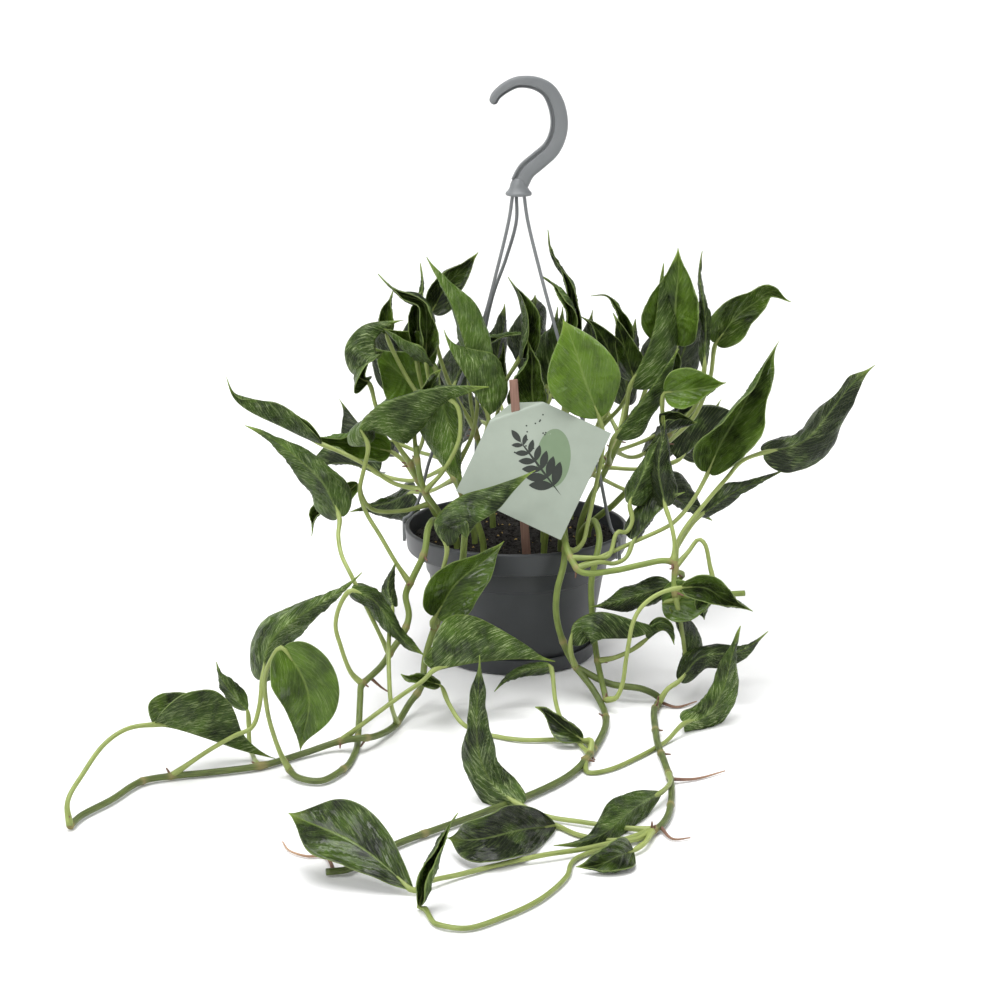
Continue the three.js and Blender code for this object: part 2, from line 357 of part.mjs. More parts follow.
// The pot: a rolled collar, a step in to the shoulder, a fine band and a tapered wall.
function makePot() {
  const bandRadius = SHOULDER_RADIUS - 2.2;
  return turned([
    [0, POT_FLOOR],
    [FOOT_RADIUS - 2, POT_FLOOR],
    [FOOT_RADIUS, POT_FLOOR + 2],
    [bandRadius, BAND_HEIGHT - 1],
    [SHOULDER_RADIUS - 0.6, BAND_HEIGHT],
    [SHOULDER_RADIUS, POT_HEIGHT - COLLAR_HEIGHT - 2],
    [RIM_RADIUS - 1.5, POT_HEIGHT - COLLAR_HEIGHT],
    [RIM_RADIUS, POT_HEIGHT - 1],
    [RIM_RADIUS - 1, POT_HEIGHT],
    [RIM_RADIUS - WALL - 1, POT_HEIGHT],
    [RIM_RADIUS - WALL - 1.5, POT_HEIGHT - COLLAR_HEIGHT + WALL],
    [SHOULDER_RADIUS - WALL, POT_HEIGHT - COLLAR_HEIGHT - WALL],
    [bandRadius - WALL, BAND_HEIGHT - WALL],
    [FOOT_RADIUS - WALL, POT_FLOOR + WALL],
    [0, POT_FLOOR + WALL],
  ]);
}

// The drip saucer: a shallow dish with a thin lip, whose raised ring carries the pot.
function makeSaucer() {
  const seat = POT_FLOOR - GAP;
  return turned([
    [0, 0],
    [SAUCER_RADIUS - 3, 0],
    [SAUCER_RADIUS - 1, 1],
    [SAUCER_RADIUS, SAUCER_HEIGHT],
    [SAUCER_RADIUS - 1.6, SAUCER_HEIGHT],
    [SAUCER_RADIUS - 3, SAUCER_FLOOR],
    [FOOT_RADIUS - 6, SAUCER_FLOOR],
    [FOOT_RADIUS - 6.5, seat],
    [FOOT_RADIUS - 9, seat],
    [FOOT_RADIUS - 9.5, SAUCER_FLOOR],
    [0, SAUCER_FLOOR],
  ]);
}

// The stem's path, straight down into its hole in the compost where it has a root.
function stemCurve(stem, grown) {
  const points = stem.path.map((point) => place(point, STEM_RADIUS + LEAST_HEIGHT));
  if (stem.root) {
    const [x, y] = stem.root;
    points.unshift(new THREE.Vector3(x, y, SOIL_TOP + 6));
    points.unshift(new THREE.Vector3(x, y, SOIL_TOP - ROOT_DEPTH / 2));
    points.unshift(new THREE.Vector3(x, y, SOIL_TOP - ROOT_DEPTH));
  } else {
    points[0] = nearest(grown, points[0]);
  }
  return smooth(points);
}

// The point of the grown stems' middle lines that is nearest to a given point.
function nearest(grown, point) {
  let best = null;
  for (const line of grown) {
    for (let i = 0; i + 1 < line.length; i++) {
      const found = new THREE.Line3(line[i], line[i + 1]).closestPointToPoint(point, true, new THREE.Vector3());
      if (!best || found.distanceTo(point) < best.distanceTo(point)) best = found;
    }
  }
  return best;
}

// The frame at each share of a leaf's length: the point on its midrib, its forward direction, the
// direction of its upper face and the direction of its right half.
function leafFrame(leaf, base, tip, share) {
  const along = tip.clone().sub(base).normalize();
  const face = EYE.clone().sub(base.clone().lerp(tip, 0.5));
  face.addScaledVector(along, -face.dot(along)).normalize();
  face.applyAxisAngle(along, THREE.MathUtils.degToRad(leaf.roll));
  const bend = smooth([base, ...(leaf.bend ?? []).map((point) => place(point, LEAST_HEIGHT + BLADE)), tip]);
  const midrib = (u) => bend.getPointAt(u).addScaledVector(face, (leaf.arch ?? 0) * Math.sin(Math.PI * u));
  const step = 0.01;
  const centre = midrib(share);
  const forward = midrib(Math.min(share + step, 1)).sub(midrib(Math.max(share - step, 0))).normalize();
  const up = face.clone().addScaledVector(forward, -face.dot(forward)).normalize();
  up.applyAxisAngle(forward, THREE.MathUtils.degToRad((leaf.twist ?? 0) * share));
  return { centre, forward, up, right: forward.clone().cross(up) };
}

// A point of the blade's middle surface, across from -1 at the left margin to 1 at the right, and
// its normal. Each half is an arc that starts at the fold and curls further towards the margin.
function bladePoint(leaf, frame, share, across) {
  const outline = Math.sin(Math.PI * share ** (leaf.peak ?? 0.6)) ** (0.75 + 0.75 * share);
  const reach = (leaf.width / 2) * outline * Math.abs(across);
  const fold = THREE.MathUtils.degToRad(leaf.fold);
  const curl = THREE.MathUtils.degToRad(leaf.curl) * (0.5 + 0.5 * share) * Math.abs(across);
  const angle = fold + curl / 2;
  const chord = curl > 0 ? (reach * Math.sin(curl / 2)) / (curl / 2) : reach;
  const wave = (leaf.wave ?? 0.05) * leaf.width * Math.sin(3 * Math.PI * share + leaf.width) * across ** 2 * outline;
  const sign = Math.sign(across);
  const point = frame.centre.clone();
  point.addScaledVector(frame.right, sign * chord * Math.cos(angle));
  point.addScaledVector(frame.up, chord * Math.sin(angle) + wave);
  const lean = fold + curl;
  const normal = frame.up.clone().multiplyScalar(Math.cos(lean));
  normal.addScaledVector(frame.right, -sign * Math.sin(lean));
  return { point, normal: across === 0 ? frame.up.clone() : normal };
}

const SHARES = [0, 0.13, 0.33, 0.54, 0.76, 1];
const FEW_SHARES = [0, 0.17, 0.42, 0.72, 1];
const ACROSS = [-1, -0.5, 0, 0.5, 1];

// A blade with real thickness, whose two faces are split into triangles alike.
function makeBlade(leaf, base, tip) {
  const places = [];
  const rows = (leaf.width < 46 ? FEW_SHARES : SHARES).map((share) => {
    const frame = leafFrame(leaf, base, tip, share);
    const pointed = share === 0 || share === 1;
    const row = (pointed ? [0] : ACROSS).map((across) => {
      const { point, normal } = bladePoint(leaf, frame, share, across);
      point.z = Math.max(point.z, LEAST_HEIGHT + BLADE);
      places.push(point.clone().addScaledVector(normal, BLADE / 2));
      places.push(point.clone().addScaledVector(normal, -BLADE / 2));
      return places.length - 2;
    });
    return pointed ? ACROSS.map(() => row[0]) : row;
  });
  const faces = [];
  const triangle = (a, b, c) => {
    if (a === b || b === c || a === c) return;
    faces.push(a, b, c);
  };
  for (let i = 0; i + 1 < rows.length; i++) {
    for (let j = 0; j + 1 < ACROSS.length; j++) {
      const [a, b] = [rows[i][j], rows[i][j + 1]];
      const [d, c] = [rows[i + 1][j], rows[i + 1][j + 1]];
      triangle(a, b, c);
      triangle(a, c, d);
      triangle(a + 1, c + 1, b + 1);
      triangle(a + 1, d + 1, c + 1);
    }
    const last = ACROSS.length - 1;
    for (const [from, to] of [
      [rows[i][0], rows[i + 1][0]],
      [rows[i + 1][last], rows[i][last]],
    ]) {
      faces.push(from, to, to + 1);
      faces.push(from, to + 1, from + 1);
    }
  }
  const geometry = new THREE.BufferGeometry().setFromPoints(places);
  geometry.setIndex(faces);
  return solid(geometry);
}

// A leaf on its stalk, which starts inside the stem and runs on under the blade as its midrib.
function makeLeaf(leaf, grown) {
  const points = leaf.stalk.map((point) => place(point, STALK_RADIUS + LEAST_HEIGHT));
  const base = points[points.length - 1].clone();
  const tip = place(leaf.tip, LEAST_HEIGHT + BLADE);
  points[0] = nearest(grown, points[0]);
  points.push(leafFrame(leaf, base, tip, 0.13).centre);
  const curve = smooth(points);
  const steps = Math.min(12, Math.max(points.length - 1, Math.round(curve.getLength() / 26)));
  return tube(curve, STALK_RADIUS, STALK_SIDES, steps).add(makeBlade(leaf, base, tip));
}

// A thin root that has grown out of a stem in the air.
function makeRootlet(path, grown) {
  const points = path.map((point) => place(point, ROOTLET_RADIUS + LEAST_HEIGHT));
  points[0] = nearest(grown, points[0]);
  return tube(smooth(points), ROOTLET_RADIUS, 4, 3);
}

// Every stem of one node with its leaves, joined in one body.
function makeFoliage(node) {
  const grown = [];
  let body = null;
  for (const stem of STEMS.filter((entry) => entry.node === node)) {
    const curve = stemCurve(stem, grown);
    const steps = Math.max(5, Math.round(curve.getLength() / 20));
    const made = tube(curve, STEM_RADIUS, STEM_SIDES, steps);
    body = body ? body.add(made) : made;
    grown.push(curve.getSpacedPoints(steps));
    for (const leaf of stem.leaves) body = body.add(makeLeaf(leaf, grown));
    for (const path of stem.rootlets ?? []) body = body.add(makeRootlet(path, grown));
  }
  return filled(body.asOriginal().simplify(0.13));
}

// The body with the tiny pockets that are shut in between crossing faces filled.
function filled(body) {
  const shells = body.decompose();
  const main = shells.reduce((a, b) => (a.volume() > b.volume() ? a : b));
  if (shells.some((shell) => shell !== main && shell.volume() > 0)) throw new Error("a leaf isn't joined");
  return main;
}

// The compost, which fills the pot to a little under its rim, with a plain hole for each stem.
function makeSoil(stake) {
  const inside = WALL + GAP;
  const bandRadius = SHOULDER_RADIUS - 2.2;
  let soil = turned([
    [0, POT_FLOOR + inside],
    [FOOT_RADIUS - inside - 0.5, POT_FLOOR + inside],
    [bandRadius - inside, BAND_HEIGHT - inside],
    [SHOULDER_RADIUS - inside, POT_HEIGHT - COLLAR_HEIGHT - WALL],
    [RIM_RADIUS - inside - 3, POT_HEIGHT - COLLAR_HEIGHT + inside],
    [RIM_RADIUS - inside - 2, SOIL_TOP - 3],
    [RIM_RADIUS - 18, SOIL_TOP],
    [RIM_RADIUS - 45, SOIL_TOP - 1.5],
    [0, SOIL_TOP],
  ]);
  for (const stem of STEMS.filter((entry) => entry.root)) {
    const [x, y] = stem.root;
    const depth = ROOT_DEPTH + GAP;
    const hole = new THREE.ExtrudeGeometry(polygon(STEM_RADIUS + 1.3, 6), { depth: depth + 8, bevelEnabled: false });
    hole.translate(x, y, SOIL_TOP - depth);
    soil = soil.subtract(solid(hole));
  }
  return soil.subtract(stake);
}

// The hook's middle line with its width at each point, [across, up, width], from its tip to its boss.
const HOOK_LINE = [
  [-15.8, 369.5, 5.6],
  [-13.6, 374.7, 6.4],
  [-7.8, 379.7, 7],
  [-1, 383, 7.2],
  [4.5, 383.6, 7.6],
  [12.4, 382.4, 8.6],
  [19.9, 378, 9.8],
  [25, 369, 11],
  [27, 357.5, 11.4],
  [25.5, 348.4, 11.6],
  [21.4, 340.6, 11.8],
  [13.7, 333.6, 12],
  [5.9, 326.8, 12],
  [1.6, 318.9, 12],
];

// The flat outline between two lines that run beside the hook's middle line, each a share of its
// half width away: 1 is the outer edge and -1 the inner one.
function hookOutline(outer, inner) {
  const line = smooth(HOOK_LINE.map(([across, up]) => new THREE.Vector3(across, 0, up)));
  const width = smooth(HOOK_LINE.map(([across, up, wide]) => new THREE.Vector3(wide, 0, 0)));
  const steps = 16;
  const edge = (share) => {
    const points = [];
    for (let i = 0; i <= steps; i++) {
      const middle = line.getPoint(i / steps);
      const way = line.getTangent(i / steps);
      const reach = share(width.getPoint(i / steps).x / 2);
      points.push(new THREE.Vector2(middle.x - way.z * reach, middle.z + way.x * reach));
    }
    return points;
  };
  return new THREE.Shape([...edge(outer), ...edge(inner).reverse()]);
}

function slab(shape, thickness) {
  const geometry = new THREE.ExtrudeGeometry(shape, { depth: thickness, bevelEnabled: false });
  geometry.translate(0, 0, -thickness / 2);
  geometry.rotateX(Math.PI / 2);
  return solid(geometry);
}

// The hook: a flat web with a bead round its outer edge, over a flared boss.
function makeHook() {
  const web = slab(hookOutline((half) => half - 0.4, (half) => -half), HOOK_WEB);
  const bead = slab(hookOutline((half) => half, (half) => half - BEAD_WIDTH), HOOK_BEAD);
  const boss = turned(
    [
      [0, BOSS_UNDERSIDE],
      [8.4, BOSS_UNDERSIDE],
      [8.6, BOSS_UNDERSIDE + 2],
      [7.4, BOSS_UNDERSIDE + 4],
      [6.2, BOSS_TOP],
      [5.4, BOSS_TOP + 3],
      [0, BOSS_TOP + 3],
    ],
    16,
  );
  return web.add(bead).add(boss.translate([1.1, 0, 0]));
}

// Each strap runs from under the boss to the rim, over it and down the outside of the collar.
const STRAPS = {
  strap_left: { clip: 172, path: [[-5.2, 295, 0], [-13, 262, 0], [-23, 225, -2], [-42, 176, -6], [-58, 134, -10], [-65, 108, -12]] },
  strap_right: { clip: -28, path: [[6.9, 295, 2], [15.2, 261, 7], [22.2, 235, 11], [38, 180, 20], [54, 130, 28]] },
  strap_back: { clip: 112, path: [[-0.3, 295, -3], [-7, 270, -14], [-15.5, 246, -24], [-22, 215, -36], [-26, 170, -50], [-27, 130, -62]] },
};

function makeStrap({ clip, path }) {
  const angle = THREE.MathUtils.degToRad(clip);
  const way = new THREE.Vector3(Math.cos(angle), Math.sin(angle), 0);
  const over = RIM_RADIUS + GAP + STRAP_RADIUS + 0.2;
  const points = path.map((point) => place(point));
  points.unshift(new THREE.Vector3(1.1, 0, BOSS_UNDERSIDE - GAP).addScaledVector(way, 4));
  const rim = [
    [RIM_RADIUS - 4.5, POT_HEIGHT + 6],
    [RIM_RADIUS - 1.5, POT_HEIGHT + STRAP_RADIUS + 1],
    [over - 0.3, POT_HEIGHT + 0.8],
    [over, POT_HEIGHT - 3],
    [over, POT_HEIGHT - COLLAR_HEIGHT],
  ].map(([radius, height]) => way.clone().multiplyScalar(radius).setZ(height));
  points.push(rim[0]);
  return tube(smooth(points), STRAP_RADIUS, 5, 8).add(tube(smooth(rim), STRAP_RADIUS, 5, 8));
}

// The stake leans back a little from its foot in the compost, and pokes through the card's fold.
const STAKE_FOOT = [8.4, 50, 51];
const STAKE_TOP = [-2.2, 189, 50];

function makeStake(extra = 0) {
  const foot = place(STAKE_FOOT);
  const top = place(STAKE_TOP);
  const height = top.distanceTo(foot);
  const geometry = new THREE.BoxGeometry(STAKE_WIDTH + extra, STAKE_THICKNESS + extra, height + extra);
  const upright = new THREE.Quaternion().setFromUnitVectors(
    new THREE.Vector3(0, 0, 1),
    top.clone().sub(foot).normalize(),
  );
  geometry.applyQuaternion(upright);
  const middle = foot.clone().lerp(top, 0.5);
  geometry.translate(middle.x, middle.y, middle.z);
  return solid(geometry);
}

const CARD_CORNERS = {
  right: [63, 152.5, 57],
  bottom: [30, 78.5, 82],
  left: [-40.5, 112.7, 70.5],
  foldLeft: [-19, 160, 54.3],
  foldRight: [18.6, 173.4, 49.8],
  back: [1, 177, 26],
};

function plate(names) {
  const corners = names.map((name) => place(CARD_CORNERS[name]));
  const across = corners[1].clone().sub(corners[0]);
  const normal = across.cross(corners[2].clone().sub(corners[0])).normalize();
  const count = corners.length;
  const places = [...corners, ...corners.map((corner) => corner.clone().addScaledVector(normal, -CARD))];
  const faces = [];
  for (let i = 1; i + 1 < count; i++) faces.push(0, i, i + 1, count, count + i + 1, count + i);
  for (let i = 0; i < count; i++) {
    const next = (i + 1) % count;
    faces.push(i, count + i, count + next, i, count + next, next);
  }
  const geometry = new THREE.BufferGeometry().setFromPoints(places);
  geometry.setIndex(faces);
  return solid(geometry);
}

// The card: a square on its corner, its top corner folded back, with a slit for the stake.
function makeCard() {
  const front = plate(["left", "bottom", "right", "foldRight", "foldLeft"]);
  const flap = plate(["foldLeft", "foldRight", "back"]);
  return front.add(flap).subtract(makeStake(1));
}

const plant = new THREE.Group();
plant.add(piece("pot", makePot(), COLOURS.pot, 0.45));
plant.add(piece("drip_saucer", makeSaucer(), COLOURS.pot, 0.5));
plant.add(piece("compost", makeSoil(makeStake(0.8)), COLOURS.soil, 0.95));
plant.add(piece("hook", makeHook(), COLOURS.hanger, 0.45));
for (const [name, strap] of Object.entries(STRAPS)) plant.add(piece(name, makeStrap(strap), COLOURS.hanger, 0.5));
plant.add(piece("stake", makeStake(), COLOURS.stake, 0.8));
plant.add(piece("care_card", makeCard(), COLOURS.card, 0.7));
for (const node of new Set(STEMS.map((stem) => stem.node))) {
  plant.add(piece(node, makeFoliage(node), COLOURS.leaf, 0.5));
}

export default plant;
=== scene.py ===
# Potted shangri la pothos: a young trailing plant with folded, streaked leaves in a hanging pot.
import math
import random

import bpy
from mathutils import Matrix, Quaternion, Vector, noise


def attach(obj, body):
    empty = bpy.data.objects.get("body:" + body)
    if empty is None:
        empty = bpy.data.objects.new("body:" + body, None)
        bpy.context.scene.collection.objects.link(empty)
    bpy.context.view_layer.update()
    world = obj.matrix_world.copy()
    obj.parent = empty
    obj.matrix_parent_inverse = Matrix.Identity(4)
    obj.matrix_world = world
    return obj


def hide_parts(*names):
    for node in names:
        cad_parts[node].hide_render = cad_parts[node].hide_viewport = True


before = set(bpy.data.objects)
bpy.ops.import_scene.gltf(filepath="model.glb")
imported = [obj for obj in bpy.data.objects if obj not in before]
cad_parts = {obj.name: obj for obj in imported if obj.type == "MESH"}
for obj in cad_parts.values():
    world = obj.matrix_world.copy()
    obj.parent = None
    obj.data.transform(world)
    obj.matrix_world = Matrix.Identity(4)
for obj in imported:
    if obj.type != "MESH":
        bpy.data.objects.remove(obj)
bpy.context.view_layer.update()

# Sizes in millimetres. The origin is the centre of the saucer's underside.
MM = 0.001
RIM_RADIUS = 75
POT_HEIGHT = 90
COLLAR_HEIGHT = 15
SHOULDER_RADIUS = 61.5
BAND_HEIGHT = 60
BAND_RADIUS = 59.3
FOOT_RADIUS = 50.5
WALL = 2
SAUCER_RADIUS = 54
SAUCER_HEIGHT = 11
SAUCER_FLOOR = 2.5
POT_FLOOR = 7
GAP = 0.3
SOIL_TOP = 83

STEM_RADIUS = 2.8
STALK_RADIUS = 1.9
ROOTLET_RADIUS = 1.1
ROOT_DEPTH = 27
BLADE = 0.5
LEAST_HEIGHT = 0.3
CAD_BLADE = 0.8

# The values that the meshes carry for their materials.
PAINTED = ("vein", "run", "rim", "along", "tone", "milk")

# The eye's place. Every free point of the plant and the card is written [across, up, near]: across
# and up on the upright plane through the pot's axis, and near in front of that plane towards the
# eye. A point with no third number rests on the surface.
EYE = Vector((-11, -1500, 514))

# Each stem has its node, its root in the compost if it has one, its path and its leaves. A leaf has
# the points of its stalk, those that its midrib bends through, its tip and its form: its flat width,
# and in degrees its roll, the fold at its midrib and the further curl of each half. Some have a
# twist in degrees, a further arch in millimetres or another place for their widest part.
STEMS = [
  {"node": "crown_stem_1", "root": [-40, -31],
   "path": [[-52, 98, 44], [-62, 114, 50], [-66, 132, 50], [-67, 144, 48]],
   "leaves": [
    {"stalk": [[-64, 112, 50], [-82, 118, 46], [-101, 131, 42], [-116, 139, 38], [-130, 145, 35]],
     "bend": [[-150, 152, 31], [-172, 164, 29], [-186, 177, 28]], "tip": [-192, 191, 28],
     "form": [28, 30, 60, 60], "twist": 90},
    {"stalk": [[-66, 134, 50], [-68, 152, 38], [-67, 162, 32]],
     "tip": [-50, 196, 28], "form": [26, 10, 20, 40]},
    {"skin": "pale", "stalk": [[-60, 112, 52], [-48, 128, 60], [-38, 150, 60], [-40, 172, 56],
             [-50, 177, 52]],
     "tip": [-35, 117, 56], "form": [52, 165, 30, 45]}]},
  {"node": "crown_stem_2", "root": [-49, -10], "path": [[-56, 100, 16], [-66, 120, 18], [-72, 134, 16]],
   "leaves": [
    {"skin": "streaked", "stalk": [[-71, 132, 17], [-84, 152, 14], [-93, 170, 12], [-98, 187, 10]],
     "bend": [[-111, 196, 10], [-115, 212, 9], [-104, 226, 8]], "tip": [-74, 229, 8],
     "form": [48, 88, 50, 45]},
    # This leaf's bright skin is painted light: it lightens a leaf whose upper half faces the light.
    {"skin": "bright", "stalk": [[-66, 121, 18], [-76, 134, 10], [-84, 140, 6]],
     "tip": [-137, 151, 0], "form": [46, 0, 30, 75]},
    {"stalk": [[-58, 104, 16], [-76, 99, 20], [-97, 100, 22], [-104, 110, 22], [-106, 118, 21]],
     "bend": [[-118, 109, 21], [-134, 99, 20]], "tip": [-138, 81, 20], "form": [28, 0, 45, 50]},
    {"skin": "bright", "stalk": [[-70, 130, 16], [-62, 150, -6], [-62, 176, -12]],
     "tip": [-95, 212, -16], "form": [44, 10, 15, 25]}]},
  {"node": "crown_stem_3", "root": [-28, -22],
   "path": [[-33, 98, 22], [-38, 120, 28], [-42, 140, 30], [-46, 156, 28]],
   "leaves": [
    {"skin": "streaked", "stalk": [[-45, 152, 29], [-50, 176, 18], [-55, 198, 10]],
     "tip": [-90, 225, 8], "form": [43, 45, 42, 45], "arch": -6},
    {"stalk": [[-46, 155, 28], [-56, 180, 16], [-60, 204, 14]],
     "bend": [[-60, 224, 13], [-62, 241, 12], [-74, 247, 12]], "tip": [-91, 260, 12],
     "form": [28, 0, 45, 50]},
    {"stalk": [[-46, 155, 28], [-60, 176, 6], [-66, 202, 3]],
     "bend": [[-65, 236, 3], [-61, 253, 2]], "tip": [-63, 267, 2], "form": [21, 0, 45, 40]},
    {"skin": "pale", "stalk": [[-40, 130, 29], [-30, 150, 26], [-26, 172, 22], [-28, 188, 20]],
     "bend": [[-36, 214, 20], [-45, 242, 19]], "tip": [-59, 271, 16], "form": [41, 150, 40, 40]},
    {"skin": "pale", "stalk": [[-36, 112, 25], [-24, 130, 32], [-18, 150, 36], [-19, 164, 36]],
     "tip": [-48, 223, 30], "form": [53, 142, 42, 45], "arch": -4},
    {"stalk": [[-46, 155, 28], [-70, 186, 0], [-86, 220, -8]],
     "bend": [[-85, 236, -8]], "tip": [-81, 249, -6], "form": [18, 0, 40, 40]}]},
  {"node": "crown_stem_4", "root": [-16, 18], "path": [[-18, 112, -22], [-22, 134, -24], [-28, 156, -22]],
   "leaves": [
    {"stalk": [[-28, 155, -22], [-46, 190, -24], [-56, 234, -24]],
     "bend": [[-44, 255, -25]], "tip": [-25, 274, -26], "form": [28, 10, 25, 40]},
    {"stalk": [[-27, 150, -22], [-31, 180, -22], [-31, 213, -24]],
     "bend": [[-16, 217, -22]], "tip": [9, 220, -20], "form": [23, 0, 50, 60]},
    {"stalk": [[-24, 140, -24], [-19, 160, -20], [-18, 178, -18]],
     "tip": [-9, 214, -16], "form": [18, 20, 25, 45]},
    {"stalk": [[-22, 132, -24], [-14, 160, -6], [-8, 186, -4], [2, 204, -8]],
     "bend": [[3, 226, -8], [0, 244, -12]], "tip": [-6, 258, -14], "form": [34, 30, 48, 55]}]},
  {"node": "crown_stem_5", "root": [18, -20],
   "path": [[19, 100, 20], [22, 124, 22], [28, 146, 18], [32, 164, 12]],
   "leaves": [
    {"stalk": [[31, 160, 14], [36, 178, 4], [36, 200, -6]],
     "bend": [[38, 230, -10], [34, 252, -14], [20, 272, -16]], "tip": [20, 289, -16],
     "form": [28, 0, 50, 60]},
    {"stalk": [[31, 160, 14], [32, 190, 10], [31, 212, 6]],
     "bend": [[35, 236, 2], [28, 251, -1]], "tip": [15, 259, -2], "form": [21, 0, 50, 50]},
    {"stalk": [[24, 130, 22], [16, 148, 16], [12, 164, 10]],
     "tip": [7, 216, 4], "form": [48, -10, 30, 55], "arch": -6},
    {"stalk": [[26, 140, 20], [22, 160, 4], [20, 184, -8]],
     "tip": [30, 238, -14], "form": [41, 200, 30, 50], "arch": -4}]},
  {"node": "crown_stem_6", "root": [30, 22], "path": [[34, 112, -24], [44, 136, -24], [56, 158, -22]],
   "leaves": [
    {"stalk": [[55, 155, -22], [64, 176, -28], [68, 194, -30]],
     "bend": [[72, 214, -30], [67, 234, -30], [58, 245, -30]], "tip": [48, 245, -30],
     "form": [25, 0, 50, 50]},
    {"stalk": [[50, 148, -23], [60, 176, -14], [65, 200, -12]],
     "bend": [[55, 219, -11]], "tip": [41, 232, -10], "form": [23, 10, 25, 40]},
    {"stalk": [[55, 156, -22], [70, 172, -18], [77, 190, -16]],
     "tip": [63, 234, -16], "form": [23, 10, 25, 40], "arch": 3},
    {"skin": "bright", "stalk": [[44, 136, -24], [44, 160, -36], [48, 186, -42]],
     "tip": [54, 222, -44], "form": [30, 170, 30, 50]}]},
  {"node": "crown_stem_7", "root": [42, -12],
   "path": [[48, 104, 14], [58, 124, 18], [68, 146, 18], [76, 164, 16]],
   "leaves": [
    {"skin": "streaked", "stalk": [[70, 152, 17], [73, 168, 20], [75, 184, 20]],
     "bend": [[89, 226, 18]], "tip": [96, 267, 14], "form": [44, 140, 45, 50]},
    {"skin": "bright", "stalk": [[76, 163, 16], [92, 180, 10], [105, 212, 8]],
     "tip": [105, 277, 6], "form": [48, -12, 20, 30]},
    {"skin": "streaked", "stalk": [[62, 132, 18], [62, 140, 34], [65, 150, 36]],
     "tip": [107, 210, 34], "form": [32, 152, 45, 45]},
    {"stalk": [[74, 160, 17], [88, 176, 0], [98, 190, -6]],
     "tip": [84, 238, -8], "form": [32, 20, 30, 45]}]},
  {"node": "crown_stem_8", "root": [49, -5],
   "path": [[66, 104, 12], [82, 122, 20], [96, 142, 24], [104, 156, 24]],
   "leaves": [
    {"stalk": [[102, 152, 24], [119, 172, 22], [124, 196, 24]],
     "bend": [[123, 236, 22]], "tip": [121, 275, 22], "form": [25, 180, 55, 50]},
    {"skin": "streaked", "stalk": [[96, 142, 24], [118, 164, 6], [128, 190, 2], [131, 213, 0]],
     "bend": [[143, 229, -1], [156, 241, -3], [164, 249, -4]], "tip": [180, 241, -4],
     "form": [32, 0, 25, 40]},
    {"skin": "bright", "stalk": [[98, 146, 24], [97, 162, 38], [98, 180, 42]],
     "bend": [[120, 183, 42]], "tip": [139, 187, 42], "form": [34, 0, 20, 45]},
    {"stalk": [[92, 136, 23], [94, 144, 34], [98, 152, 38]],
     "tip": [120, 160, 40], "form": [32, -45, 35, 80]}]},
  # The back stems' leaves all wear the dark skin, which is painted shade for the hollow inside the crown.
  {"node": "crown_stem_9", "root": [-34, 34], "path": [[-40, 118, -44], [-50, 134, -58], [-58, 150, -72]],
   "leaves": [
    {"skin": "dark", "stalk": [[-56, 146, -70], [-70, 166, -78], [-78, 180, -80]],
     "tip": [-84, 232, -70], "form": [41, 190, 30, 45], "arch": 4},
    {"skin": "dark", "stalk": [[-50, 136, -60], [-66, 140, -84], [-80, 146, -98]],
     "tip": [-118, 176, -126], "form": [46, 240, 35, 45], "arch": 5},
    {"skin": "dark", "stalk": [[-58, 149, -72], [-50, 170, -84], [-42, 184, -90]],
     "tip": [-26, 234, -98], "form": [44, 170, 30, 45], "arch": 4},
    {"skin": "dark", "stalk": [[-46, 128, -54], [-70, 120, -70], [-92, 124, -78]],
     "tip": [-146, 128, -92], "form": [46, 130, 30, 45], "arch": 6},
    {"skin": "dark", "stalk": [[-58, 150, -72], [-64, 168, -66], [-66, 182, -64]],
     "tip": [-56, 248, -60], "form": [39, 200, 32, 55], "arch": 4},
    {"skin": "dark", "stalk": [[-50, 135, -59], [-54, 146, -92], [-56, 152, -104]],
     "tip": [-50, 206, -112], "form": [48, 165, 32, 50], "arch": 4},
    {"skin": "dark", "stalk": [[-42, 120, -47], [-60, 112, -66], [-70, 112, -74]],
     "tip": [-112, 98, -84], "form": [41, 200, 32, 50], "arch": 4}]},
  # Its leaves wear the dark skin: painted shade inside the crown.
  {"node": "crown_stem_10", "root": [2, 42], "path": [[0, 122, -56], [-4, 140, -74], [-4, 156, -88]],
   "leaves": [
    {"skin": "dark", "stalk": [[-4, 152, -84], [6, 176, -94], [10, 192, -96]],
     "tip": [12, 246, -86], "form": [44, 185, 30, 45], "arch": 5},
    {"skin": "dark", "stalk": [[-4, 144, -78], [-16, 156, -104], [-22, 160, -120]],
     "tip": [-36, 190, -166], "form": [48, 200, 32, 45], "arch": 6},
    {"skin": "dark", "stalk": [[-2, 134, -70], [14, 140, -96], [22, 144, -112]],
     "tip": [44, 150, -160], "form": [48, 150, 32, 45], "arch": 7},
    {"skin": "dark", "stalk": [[-4, 154, -86], [-10, 170, -106], [-13, 180, -112]],
     "tip": [-8, 240, -116], "form": [37, 195, 32, 50], "arch": 4},
    {"skin": "dark", "stalk": [[-2, 140, -74], [12, 160, -88], [22, 176, -92]],
     "tip": [27, 238, -84], "form": [39, 170, 32, 50], "arch": 4}]},
  # Its leaves wear the dark skin: painted shade inside the crown.
  {"node": "crown_stem_11", "root": [38, 38], "path": [[46, 120, -50], [60, 136, -64], [70, 150, -76]],
   "leaves": [
    {"skin": "dark", "stalk": [[68, 147, -74], [80, 168, -80], [86, 184, -80]],
     "tip": [98, 236, -70], "form": [44, 165, 30, 45], "arch": 4},
    {"skin": "dark", "stalk": [[62, 138, -66], [82, 146, -88], [96, 152, -100]],
     "tip": [136, 176, -128], "form": [48, 120, 34, 45], "arch": 6},
    {"skin": "dark", "stalk": [[70, 149, -76], [60, 168, -92], [54, 182, -98]],
